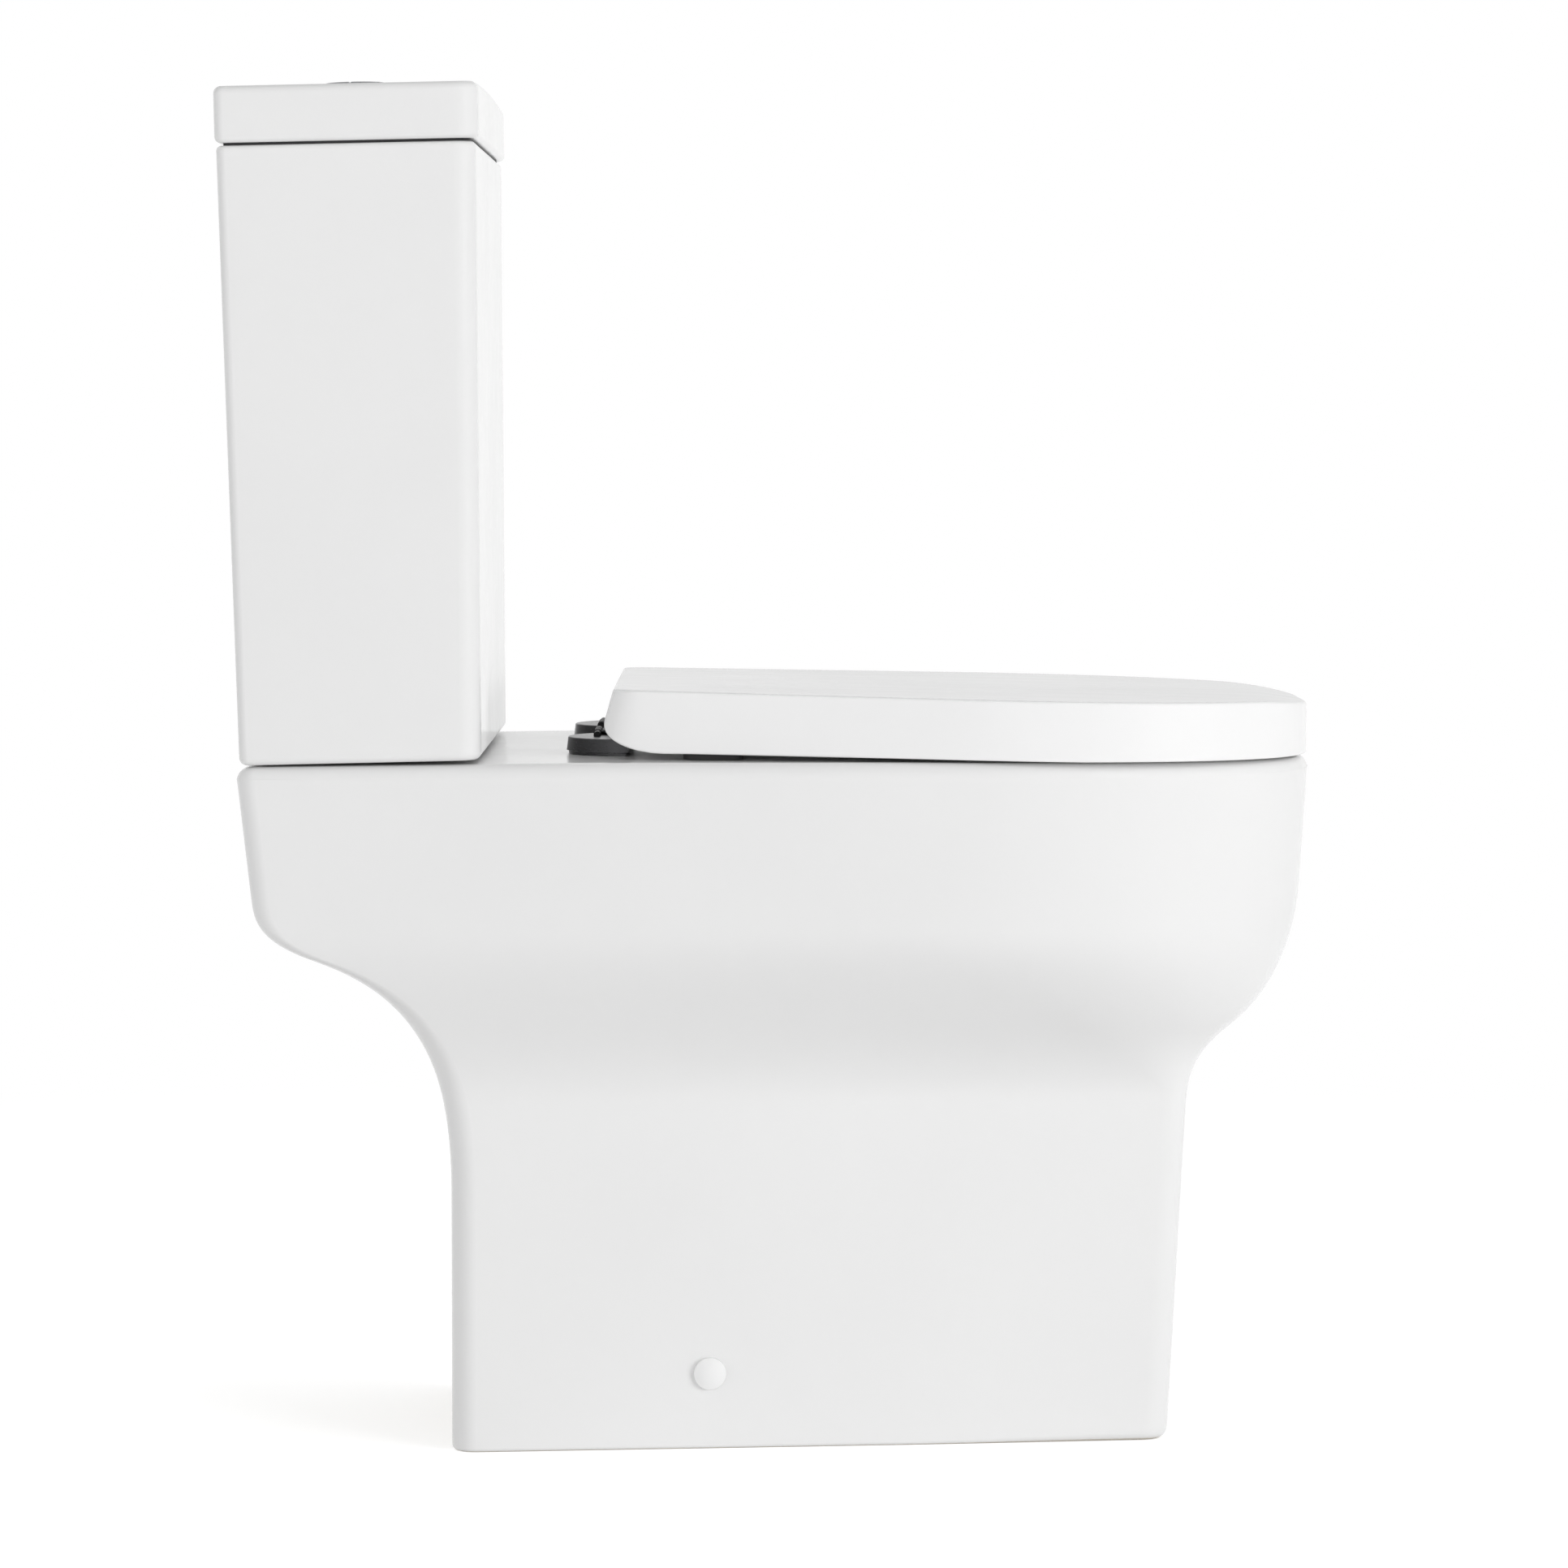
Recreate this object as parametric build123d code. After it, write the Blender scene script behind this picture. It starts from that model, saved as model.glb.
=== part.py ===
from build123d import *
import os
from math import atan2, cos, degrees, radians, sin

# A close coupled toilet: a floor-standing pan with a cistern on its rear deck, and a hinged seat and lid.
# Millimetres, +Z up, the front of the pan towards -Y, the origin on the floor under the middle.

# Pan, outer form
RIM_HEIGHT = 400.0
PAN_LENGTH = 619.5
PAN_WIDTH = 356.0
PAN_WALL = 12.0
DECK_THICKNESS = 14.0
DECK_CORNER = 26.0
RIM_ROUND = 5.0
NOSE_LENGTH = 214.0
NOSE_FLAT = 60.0
NOSE_BLUNTNESS = 0.64
FOOT_LENGTH = 420.0
FOOT_REAR_WIDTH = 250.0
FOOT_FRONT_WIDTH = 176.0
FOOT_CORNER = 15.0
FOOT_RAKE = 0.052
REAR_OVERHANG = 118.5
REAR_NECK = 150.0
REAR_SHOULDER = 316.0
REAR_SWELL = 2.25
REAR_DRAFT = 0.10
FRONT_NECK = 195.0
FRONT_SHOULDER = 300.0
FRONT_SWELL = 0.85
FRONT_DRAFT = 0.08
SIDE_NECK = 200.0
SIDE_SHOULDER = 308.0
SIDE_SWELL = 0.95
SIDE_DRAFT = 0.04
SWELL_STEPS = 11
SWELL_START = 28.0
SWELL_END = 6.0
BACK_CHEEK = 16.0
BACK_DOOR_HEIGHT = 318.0

# Bowl, trap and outlet
BOWL_WALL = 10.0
BOWL_MOUTH_WIDTH = 256.0
BOWL_MOUTH_LENGTH = 322.0
BOWL_FRONT_MARGIN = 46.0
TRAP_BORE = 76.0
TRAP_WALL = 9.0
SUMP_HEIGHT = 80.0
SUMP_BEHIND_MOUTH_MIDDLE = 142.0
WEIR_HEIGHT = 206.0
WEIR_SETBACK = 64.0
OUTLET_HEIGHT = 180.0
OUTLET_DIAMETER = 102.0
OUTLET_BEND_SETBACK = 50.0
OUTLET_RECESS = 6.0
SPIGOT_LENGTH = 36.0
ELBOW_EASE = 0.3

# The bowl's funnel: share of the depth, share of the narrowing, share of the front's way back to the sump
BOWL_FUNNEL = (
    (0.0, 0.0, 0.0),
    (0.12, 0.0, 0.01),
    (0.36, 0.16, 0.09),
    (0.62, 0.46, 0.42),
    (0.82, 0.78, 0.74),
    (1.0, 1.0, 1.0),
)

# Flush way from the cistern to the bowl
INLET_RECESS_DIAMETER = 104.0
INLET_RECESS_DEPTH = 18.0
INLET_BORE = 70.0
INLET_BOSS_WALL = 8.0
DUCT_WIDTH = 64.0
DUCT_HEIGHT = 34.0
DUCT_WALL = 10.0
DUCT_ROOF = 16.0

# Cistern
CISTERN_LEAN = 1.25
TANK_REST = 0.5
TANK_SETBACK = 2.7
TANK_WIDTH = 354.0
TANK_DEPTH = 136.0
TANK_HEIGHT = 345.0
TANK_WALL = 10.0
TANK_FLOOR = 12.0
TANK_CORNER = 9.0
TANK_SIDE_FLARE = 4.0
TANK_FRONT_FLARE = 5.5
TANK_REAR_FLARE = 3.2
TANK_BASE_ROUND = 4.0
TANK_TOP_ROUND = 3.0
LID_HEIGHT = 33.0
LID_WALL = 9.0
LID_PLATE = 10.0
LID_CROWN = 2.5
LID_SIDE_OVERHANG = 2.0
LID_FRONT_OVERHANG = 2.0
LID_REAR_OVERHANG = 0.6
LID_ROUND = 3.5
LID_LIP_DEPTH = 8.0
LID_LIP_WALL = 6.0
LID_LIP_PLAY = 2.0

# Coupling bolts between cistern and pan
COUPLING_SPACING = 160.0
COUPLING_DIAMETER = 8.0
COUPLING_LENGTH = 78.0
COUPLING_HEAD_FLATS = 13.0
COUPLING_HEAD_HEIGHT = 5.5
COUPLING_TANK_HOLE = 11.0
COUPLING_DECK_HOLE = 18.0
COUPLING_SEAL_DIAMETER = 30.0
COUPLING_SEAL_THICKNESS = 4.0
METAL_WASHER_DIAMETER = 24.0
METAL_WASHER_THICKNESS = 1.6
PAD_WASHER_THICKNESS = 5.0
BOLT_FIT = 0.2

# Wing nuts and small fastener fits
WING_NUT_BODY = 16.0
WING_NUT_HEIGHT = 10.0
WING_SPAN = 34.0
WING_HEIGHT = 14.0
WING_THICKNESS = 3.0
SEAT_GAP = 0.3

# Flush valve
VALVE_TAIL = 59.0
VALVE_BORE = 48.0
VALVE_TAIL_LENGTH = 26.0
VALVE_TANK_HOLE = 63.0
VALVE_FLANGE = 84.0
VALVE_FLANGE_THICKNESS = 4.0
VALVE_GASKET_THICKNESS = 3.0
VALVE_SEAT_RISE = 3.0
VALVE_NUT_FLATS = 72.0
VALVE_NUT_HEIGHT = 11.0
TOWER_DIAMETER = 76.0
TOWER_WALL = 3.0
TOWER_HEIGHT = 212.0
TOWER_WINDOW_HEIGHT = 40.0
TOWER_WINDOW_WIDTH = 34.0
TOWER_CAP = 4.0
TOWER_CAP_HOLE = 24.0
CANISTER_TUBE = 34.0
CANISTER_TUBE_WALL = 2.5
CANISTER_DISC = 60.0
CANISTER_DISC_THICKNESS = 4.0
CANISTER_HEADROOM = 16.0
SEAL_OUTER = 58.0
SEAL_INNER = 40.0
SEAL_THICKNESS = 4.0
DOUGHNUT_OUTER = 98.0
DOUGHNUT_SKIRT_PLAY = 1.5
DOUGHNUT_BORE_PLAY = 1.0

# Flush buttons
BUTTON_SETBACK = 4.0
BEZEL_DIAMETER = 50.0
BEZEL_THICKNESS = 3.0
BARREL_DIAMETER = 39.0
BARREL_WALL = 1.5
BARREL_HOLE_PLAY = 0.5
BARREL_LENGTH = 25.0
BARREL_NUT_DIAMETER = 56.0
BARREL_NUT_HEIGHT = 8.0
BARREL_WEB = 3.0
BUTTON_PLAY = 0.4
BUTTON_SPLIT = 1.0
BUTTON_SPLIT_OFFSET = 2.0
BUTTON_RISE = 3.4
BUTTON_DOME = 1.8
BUTTON_SKIRT = 10.0
BUTTON_TRAVEL = 5.0
STEM_DIAMETER = 6.0
STEM_OFFSET = 9.5
STEM_PLAY = 0.3
ROD_END_GAP = 1.5
SPRING_OUTER = 10.0
SPRING_WALL = 1.0

# Fill valve
FILL_SHARE = 13 / 36
FILL_SHANK = 22.0
FILL_TAIL = 20.9
FILL_TAIL_LENGTH = 46.0
FILL_TANK_HOLE = 23.0
FILL_DECK_HOLE = 48.0
FILL_FLANGE = 38.0
FILL_FLANGE_THICKNESS = 4.0
FILL_GASKET_THICKNESS = 3.0
FILL_NUT_FLATS = 32.0
FILL_NUT_HEIGHT = 8.0
FILL_BORE = 12.0
RISER_DIAMETER = 22.0
RISER_HEIGHT = 216.0
HEAD_DIAMETER = 40.0
HEAD_HEIGHT = 15.0
EAR_HEIGHT = 24.0
EAR_THICKNESS = 4.0
EAR_WIDTH = 10.0
LEVER_PIVOT_OFFSET = 12.0
LEVER_REACH = 40.0
LEVER_WIDTH = 8.0
LEVER_THICKNESS = 5.0
LEVER_PLAY = 0.5
LEVER_PIN = 4.0
PIN_PLAY = 0.05
FLOAT_DIAMETER = 64.0
FLOAT_HEIGHT = 55.0
FLOAT_PLAY = 0.4
FLOAT_TOP_BELOW_HEAD = 30.0
LINK_DIAMETER = 4.0

# Seat and lid
SEAT_LID_GAP = 2.6
SEAT_LID_REAR_HEIGHT = 39.0
SEAT_LID_FRONT_HEIGHT = 30.5
SEAT_LID_WALL = 5.0
SEAT_LID_PLATE = 5.0
SEAT_LID_ROUND = 4.0
SEAT_LID_SETBACK = 209.0
SEAT_LID_REAR_MARGIN = 28.0
SEAT_LID_FLANK_MARGIN = 4.0
SEAT_LID_CORNER = 26.0
SEAT_LID_TAIL_LENGTH = 32.0
SEAT_LID_TAIL_HEIGHT = 18.5
SEAT_PLAY = 4.0
SEAT_REAR_INSET = 12.5
SEAT_LIFT = 5.0
SEAT_THICKNESS = 16.0
SEAT_ROUND = 5.0
SEAT_HOLE_WIDTH = 212.0
SEAT_HOLE_LENGTH = 268.0
SEAT_HOLE_FRONT_MARGIN = 84.0
BUFFER_LENGTH = 34.0
BUFFER_WIDTH = 12.0
BUFFER_INSET = 34.0
BUFFER_REAR_SETBACK = 60.0
BUFFER_PITCH = 190.0
LID_BUFFER_DIAMETER = 14.0
LID_BUFFER_INSET = 42.0

# Seat hinges
HINGE_SPACING = 156.0
HINGE_SETBACK = 201.5
HINGE_AXIS_HEIGHT = 10.5
HINGE_POST = 34.0
HINGE_BASE_HEIGHT = 3.5
HINGE_JOINT = 0.4
HINGE_CAP_HEIGHT = 9.2
HINGE_CAP_ROUND = 1.0
HINGE_PIN = 4.0
HINGE_BARREL = 14.0
LUG_WIDTH = 16.0
LUG_GAP = 2.0
HINGE_BOLT = 8.0
HINGE_BOLT_LENGTH = 60.0
HINGE_DECK_HOLE = 13.0
HINGE_WASHER = 26.0
HINGE_WASHER_THICKNESS = 4.0

# Fixing of the pan to the floor
SIDE_FIX_SETBACK = 148.0
SIDE_FIX_HEIGHT = 44.0
SIDE_SCREW = 6.0
SIDE_SCREW_HEAD = 12.0
SIDE_SCREW_HEAD_HEIGHT = 2.6
SIDE_SCREW_LENGTH = 34.0
SIDE_SCREW_HOLE = 8.0
COVER_CAP_DIAMETER = 18.7
COVER_CAP_HEIGHT = 5.0
COVER_CAP_WALL = 1.4
COVER_CAP_ROUND = 2.6
BRACKET_THICKNESS = 8.0
BRACKET_WIDTH = 40.0
BRACKET_HEIGHT = 66.0
BRACKET_FOOT = 42.0
FLOOR_SCREW_HOLE = 8.0

# Sizes that follow from the ones above
QUARTER_ROUND = 0.5523
lean_sin = sin(radians(CISTERN_LEAN))
lean_cos = cos(radians(CISTERN_LEAN))
lid_rear = TANK_REAR_FLARE + LID_REAR_OVERHANG
lid_corner_height = TANK_HEIGHT + LID_HEIGHT - LID_ROUND
lid_rear_reach = (lid_rear - LID_ROUND) * lean_cos + lid_corner_height * lean_sin + LID_ROUND
overall_length = PAN_LENGTH - TANK_SETBACK + lid_rear_reach
pan_front = -overall_length / 2
pan_rear = pan_front + PAN_LENGTH
tank_rear = pan_rear - TANK_SETBACK
foot_rear = pan_rear - REAR_OVERHANG
foot_front = foot_rear - FOOT_LENGTH
deck_underside = RIM_HEIGHT - DECK_THICKNESS
tank_axis = -TANK_DEPTH / 2
inlet_y = tank_rear + tank_axis * lean_cos
recess_floor = RIM_HEIGHT - INLET_RECESS_DEPTH
coupling_edge = (COUPLING_SPACING + COUPLING_SEAL_DIAMETER) / 2
fill_offset = coupling_edge + FILL_SHARE * (TANK_WIDTH / 2 - TANK_WALL - coupling_edge)
hinge_y = pan_rear - HINGE_SETBACK
hinge_z = RIM_HEIGHT + HINGE_AXIS_HEIGHT
CISTERN = Pos(0, tank_rear, RIM_HEIGHT + TANK_REST) * Rot(-CISTERN_LEAN, 0, 0)
UP = (Align.CENTER, Align.CENTER, Align.MIN)
REARWARD = (Align.CENTER, Align.MIN)


def rod(diameter, bottom, top):
    """A round bar standing on the Z axis."""
    return Pos(0, 0, bottom) * Cylinder(diameter / 2, top - bottom, align=UP)


def ring(outer, inner, bottom, top):
    """A round tube or washer standing on the Z axis."""
    return rod(outer, bottom, top) - rod(inner, bottom - 1, top + 1)


def block(x, y, z):
    """A box from its limits along each axis."""
    size = [high - low for low, high in (x, y, z)]
    middle = [(high + low) / 2 for low, high in (x, y, z)]
    return Pos(*middle) * Box(*size)


def hexagon(flats, bottom, top):
    """A hexagonal bar standing on the Z axis."""
    outline = RegularPolygon(flats / 2, 6, major_radius=False)
    return Pos(0, 0, bottom) * extrude(outline, top - bottom)


def both_sides(piece):
    """The piece on the right, and its mirror image on the left."""
    return piece + mirror(piece, Plane.YZ)


def plan(z, rear, front, rear_half, flank_half, nose_half, nose_length, corner):
    """A level outline: straight rear edge, round rear corners, straight flanks and a curved nose."""
    flank_start = Vector(rear_half, rear - corner)
    flank_end = Vector(flank_half, front + nose_length)
    along = (flank_end - flank_start).normalized()
    handle = corner * QUARTER_ROUND
    half = [
        Line((0, rear), (rear_half - corner, rear)),
        Bezier(
            (rear_half - corner, rear),
            (rear_half - corner + handle, rear),
            flank_start - along * handle,
            flank_start,
        ),
        Line(flank_start, flank_end),
        Bezier(
            flank_end,
            flank_end + along * (NOSE_BLUNTNESS * nose_length),
            (nose_half + NOSE_BLUNTNESS * (flank_half - nose_half), front),
            (nose_half, front),
        ),
        Line((nose_half, front), (0, front)),
    ]
    return Pos(0, 0, z) * Face(Wire(half + [edge.mirror(Plane.YZ) for edge in half]))


def swell(z, neck, shoulder, power):
    """0 below the neck, 1 above the shoulder, and a soft S between them."""
    t = min(max((z - neck) / (shoulder - neck), 0), 1) ** power
    return t * t * (3 - 2 * t)


def half_width(z, foot_width):
    """Half the pan's width at a height, where the foot below has a given width."""
    side = swell(z, SIDE_NECK, SIDE_SHOULDER, SIDE_SWELL)
    shelf_half = PAN_WIDTH / 2 - SIDE_DRAFT * (RIM_HEIGHT - max(z, SIDE_SHOULDER))
    return foot_width / 2 + side * (shelf_half - foot_width / 2)


def pan_section(z, inset):
    """The pan's outline at a height, drawn in by a wall thickness."""
    rear_shelf = REAR_OVERHANG - REAR_DRAFT * (RIM_HEIGHT - REAR_SHOULDER)
    rear = foot_rear + rear_shelf * swell(z, REAR_NECK, REAR_SHOULDER, REAR_SWELL)
    rear += REAR_DRAFT * max(z - REAR_SHOULDER, 0)
    rake = FOOT_RAKE * min(z, FRONT_NECK)
    lip = FRONT_DRAFT * (RIM_HEIGHT - FRONT_SHOULDER)
    front_shelf = foot_front - FOOT_RAKE * FRONT_NECK - lip - pan_front
    front = foot_front - rake - front_shelf * swell(z, FRONT_NECK, FRONT_SHOULDER, FRONT_SWELL)
    front -= FRONT_DRAFT * max(z - FRONT_SHOULDER, 0)
    side = swell(z, SIDE_NECK, SIDE_SHOULDER, SIDE_SWELL)
    foot_flat = FOOT_FRONT_WIDTH / 2 - FOOT_CORNER
    nose_half = foot_flat + side * (NOSE_FLAT / 2 - foot_flat)
    nose_length = FOOT_CORNER + side * (NOSE_LENGTH - FOOT_CORNER)
    corner = FOOT_CORNER + side * (DECK_CORNER - FOOT_CORNER)
    tight = FOOT_CORNER / 3
    return plan(
        z,
        rear - inset,
        front + inset,
        half_width(z, FOOT_REAR_WIDTH) - inset,
        half_width(z, FOOT_FRONT_WIDTH) - inset,
        max(nose_half - inset / 2, tight),
        max(nose_length - inset, tight),
        max(corner - inset, tight),
    )


def rim_section(turn):
    """The outline part of the way round the rim's outer rounding."""
    rise = RIM_ROUND * sin(radians(turn))
    inset = RIM_ROUND * (1 - cos(radians(turn)))
    return pan_section(RIM_HEIGHT - RIM_ROUND + rise, inset)


def levels(bottom, top):
    """Heights of the pan's outlines: sparse on the foot, close together on the swell."""
    foot = [bottom, REAR_NECK / 2, REAR_NECK]
    start = REAR_NECK + SWELL_START
    step = (REAR_SHOULDER + SWELL_END - start) / (SWELL_STEPS - 1)
    swelling = [start + step * n for n in range(SWELL_STEPS)]
    return foot + swelling + [(REAR_SHOULDER + top) / 2, top]


def flank_place(setback):
    """A place on the foot's right flank: X out of the wall, Y along it, Z up from the floor."""
    start = Vector(FOOT_REAR_WIDTH / 2, foot_rear - FOOT_CORNER)
    end = Vector(FOOT_FRONT_WIDTH / 2, foot_front + FOOT_CORNER)
    share = (setback - FOOT_CORNER) / (FOOT_LENGTH - 2 * FOOT_CORNER)
    spot = start + (end - start) * share
    turn = degrees(atan2(end.X - start.X, start.Y - end.Y))
    return Pos(spot.X, spot.Y, 0) * Rot(0, 0, turn)


sump_y = pan_front + BOWL_FRONT_MARGIN + BOWL_MOUTH_LENGTH / 2 + SUMP_BEHIND_MOUTH_MIDDLE
outlet_end = foot_rear - OUTLET_RECESS
trap_points = [
    Vector(0, sump_y, SUMP_HEIGHT),
    Vector(0, sump_y + WEIR_SETBACK, WEIR_HEIGHT),
    Vector(0, outlet_end - OUTLET_BEND_SETBACK, OUTLET_HEIGHT),
    Vector(0, outlet_end, OUTLET_HEIGHT),
]


def trap(diameter, past_end):
    """The trapway: straight runs with ball elbows, from the sump over the weir to the outlet."""
    elbow = Sphere(diameter / 2 + ELBOW_EASE)
    way = Pos(*trap_points[0]) * elbow
    for low, high in zip(trap_points[:-1], trap_points[1:]):
        run = high - low
        length = run.length + (past_end if high is trap_points[-1] else 0)
        way += Plane(low, z_dir=run) * Cylinder(diameter / 2, length, align=UP)
        if high is not trap_points[-1]:
            way += Pos(*high) * elbow
    return way


def bowl(wall, top):
    """The bowl as a funnel of ovals from its mouth down to the sump, grown by a wall."""
    mouth_front = pan_front + BOWL_FRONT_MARGIN
    mouth_rear = mouth_front + BOWL_MOUTH_LENGTH
    mouth_half = BOWL_MOUTH_WIDTH / 2
    sump_half = TRAP_BORE / 2
    drop = RIM_HEIGHT - SUMP_HEIGHT
    ovals = []
    for share, narrowing, advance in BOWL_FUNNEL:
        half = mouth_half + (sump_half - mouth_half) * narrowing
        front = mouth_front + (sump_y - sump_half - mouth_front) * advance
        rear = mouth_rear + (sump_y + sump_half - mouth_rear) * share
        z = RIM_HEIGHT - drop * share if share else top
        oval = Ellipse(half + wall, (rear - front) / 2 + wall)
        ovals.append(Pos(0, (front + rear) / 2, z) * oval)
    return loft(ovals)


def back_door():
    """The opening behind the foot and under the deck, between two cheeks that follow the flanks."""
    heights = [z for z in levels(-PAN_WALL, RIM_HEIGHT) if z < BACK_DOOR_HEIGHT] + [BACK_DOOR_HEIGHT]
    depth = REAR_OVERHANG + 3 * PAN_WALL
    sheets = []
    for z in heights:
        width = 2 * (half_width(z, FOOT_REAR_WIDTH) - BACK_CHEEK)
        sheets.append(Pos(0, foot_rear - 2 * PAN_WALL, z) * Rectangle(width, depth, align=REARWARD))
    return loft(sheets, ruled=True)


def pan():
    """Vitreous china in one piece: rim and deck, bowl, trap, hollow foot open below and behind."""
    body = loft([pan_section(z, 0) for z in levels(0, RIM_HEIGHT - RIM_ROUND)], ruled=True)
    body += loft([rim_section(turn) for turn in (0, 30, 60, 90)], ruled=True)
    body -= loft([pan_section(z, PAN_WALL) for z in levels(-PAN_WALL, deck_underside)], ruled=True)
    body -= back_door()
    duct_top = RIM_HEIGHT - INLET_RECESS_DEPTH - DUCT_ROOF + DUCT_WALL
    duct_bottom = duct_top - DUCT_HEIGHT
    duct_rear = inlet_y + INLET_BORE / 2
    mouth_rear = pan_front + BOWL_FRONT_MARGIN + BOWL_MOUTH_LENGTH
    half_duct = DUCT_WIDTH / 2
    boss = INLET_RECESS_DIAMETER + 2 * INLET_BOSS_WALL
    body += bowl(BOWL_WALL, RIM_HEIGHT - DECK_THICKNESS / 2)
    body += trap(TRAP_BORE + 2 * TRAP_WALL, 0)
    spigot = Plane((0, outlet_end - SPIGOT_LENGTH, OUTLET_HEIGHT), z_dir=(0, 1, 0))
    body += spigot * Cylinder(OUTLET_DIAMETER / 2, SPIGOT_LENGTH, align=UP)
    body += block(
        (-half_duct - DUCT_WALL, half_duct + DUCT_WALL),
        (mouth_rear + BOWL_WALL / 2, duct_rear + DUCT_WALL),
        (duct_bottom - DUCT_WALL, RIM_HEIGHT - DECK_THICKNESS / 2),
    )
    body += Pos(0, inlet_y, 0) * rod(boss, recess_floor - INLET_BOSS_WALL, RIM_HEIGHT - DECK_THICKNESS / 2)
    body -= bowl(0, RIM_HEIGHT + 1)
    body -= trap(TRAP_BORE, OUTLET_DIAMETER)
    body -= block((-half_duct, half_duct), (mouth_rear - BOWL_WALL, duct_rear), (duct_bottom, duct_top))
    body -= Pos(0, inlet_y, 0) * rod(INLET_BORE, duct_bottom, RIM_HEIGHT)
    body -= Pos(0, inlet_y, 0) * rod(INLET_RECESS_DIAMETER, recess_floor, RIM_HEIGHT + 1)
    for x, y, diameter in (
        (COUPLING_SPACING / 2, inlet_y, COUPLING_DECK_HOLE),
        (-COUPLING_SPACING / 2, inlet_y, COUPLING_DECK_HOLE),
        (HINGE_SPACING / 2, hinge_y, HINGE_DECK_HOLE),
        (-HINGE_SPACING / 2, hinge_y, HINGE_DECK_HOLE),
        (fill_offset, inlet_y, FILL_DECK_HOLE),
    ):
        body -= Pos(x, y, 0) * rod(diameter, deck_underside - 1, RIM_HEIGHT + 1)
    screw_way = Rot(0, 90, 0) * Cylinder(SIDE_SCREW_HOLE / 2, 4 * PAN_WALL)
    body -= both_sides(flank_place(SIDE_FIX_SETBACK) * Pos(0, 0, SIDE_FIX_HEIGHT) * screw_way)
    return body


def tank_block(inset, bottom, top):
    """The tank's flared body between two heights above its base, drawn in by a wall."""
    faces = []
    for z in (bottom, top):
        share = z / TANK_HEIGHT
        rear = TANK_REAR_FLARE * share - inset
        front = -TANK_DEPTH - TANK_FRONT_FLARE * share + inset
        half = TANK_WIDTH / 2 + TANK_SIDE_FLARE * share - inset
        outline = RectangleRounded(2 * half, rear - front, max(TANK_CORNER - inset, TANK_CORNER / 3))
        faces.append(Pos(0, (rear + front) / 2, z) * outline)
    return loft(faces, ruled=True)


def cistern_tank():
    """Vitreous china tank, open at the top, with holes in its floor for the valves and bolts."""
    body = tank_block(0, 0, TANK_HEIGHT)
    body = fillet(body.edges().group_by(Axis.Z)[0], TANK_BASE_ROUND)
    body = fillet(body.edges().group_by(Axis.Z)[-1], TANK_TOP_ROUND)
    body -= tank_block(TANK_WALL, TANK_FLOOR, TANK_HEIGHT + 1)
    for x, diameter in (
        (0, VALVE_TANK_HOLE),
        (COUPLING_SPACING / 2, COUPLING_TANK_HOLE),
        (-COUPLING_SPACING / 2, COUPLING_TANK_HOLE),
        (fill_offset, FILL_TANK_HOLE),
    ):
        body -= Pos(x, tank_axis, 0) * rod(diameter, -1, TANK_FLOOR + 1)
    return CISTERN * body


lid_front = -TANK_DEPTH - TANK_FRONT_FLARE - LID_FRONT_OVERHANG
lid_half = TANK_WIDTH / 2 + TANK_SIDE_FLARE + LID_SIDE_OVERHANG
lid_top = TANK_HEIGHT + LID_HEIGHT + LID_CROWN
lid_plate_bottom = TANK_HEIGHT + LID_HEIGHT - LID_PLATE
button_seat = TANK_HEIGHT + LID_HEIGHT + LID_CROWN / 2
BUTTON_AXIS = Pos(0, tank_axis + BUTTON_SETBACK, 0)


def lid_prism(inset, bottom, top):
    """An upright block with the cistern lid's outline, drawn in by a wall."""
    outline = RectangleRounded(
        2 * (lid_half - inset), lid_rear - lid_front - 2 * inset, max(TANK_CORNER - inset, TANK_CORNER / 3)
    )
    return Pos(0, (lid_rear + lid_front) / 2, bottom) * extrude(outline, top - bottom)


def cistern_lid():
    """China lid: crowned plate with a skirt on the tank's edge and a lip that drops inside the tank."""
    crown_radius = (lid_half**2 + LID_CROWN**2) / (2 * LID_CROWN)
    crown = Pos(0, 0, lid_top - crown_radius) * Rot(90, 0, 0) * Cylinder(crown_radius, 4 * TANK_DEPTH)
    body = lid_prism(0, TANK_HEIGHT, lid_top + 1) & crown
    body = fillet(body.edges().group_by(Axis.Z)[0], LID_ROUND)
    body = fillet(body.faces().sort_by(Axis.Z)[-1].edges(), LID_ROUND)
    body -= lid_prism(LID_WALL, TANK_HEIGHT - 1, lid_plate_bottom)
    lip_out = TANK_WALL + LID_LIP_PLAY
    lip = tank_block(lip_out, TANK_HEIGHT - LID_LIP_DEPTH, lid_plate_bottom)
    lip -= tank_block(lip_out + LID_LIP_WALL, TANK_HEIGHT - LID_LIP_DEPTH - 1, lid_plate_bottom)
    body += lip
    body -= BUTTON_AXIS * rod(BARREL_DIAMETER + 2 * BARREL_HOLE_PLAY, TANK_HEIGHT, lid_top + 1)
    body -= BUTTON_AXIS * rod(BEZEL_DIAMETER + 2 * BARREL_HOLE_PLAY, button_seat, lid_top + 1)
    return CISTERN * body


def at_couplings(piece):
    """A piece on each of the two coupling bolt axes, in the leaning cistern."""
    return CISTERN * both_sides(Pos(COUPLING_SPACING / 2, tank_axis, 0) * piece)


seal_top = TANK_FLOOR + COUPLING_SEAL_THICKNESS
bolt_seat = seal_top + METAL_WASHER_THICKNESS
deck_below_tank = (deck_underside - RIM_HEIGHT - TANK_REST) / lean_cos + tank_axis * lean_sin
pad_bottom = deck_below_tank - PAD_WASHER_THICKNESS
wing_seat = pad_bottom - METAL_WASHER_THICKNESS


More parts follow.
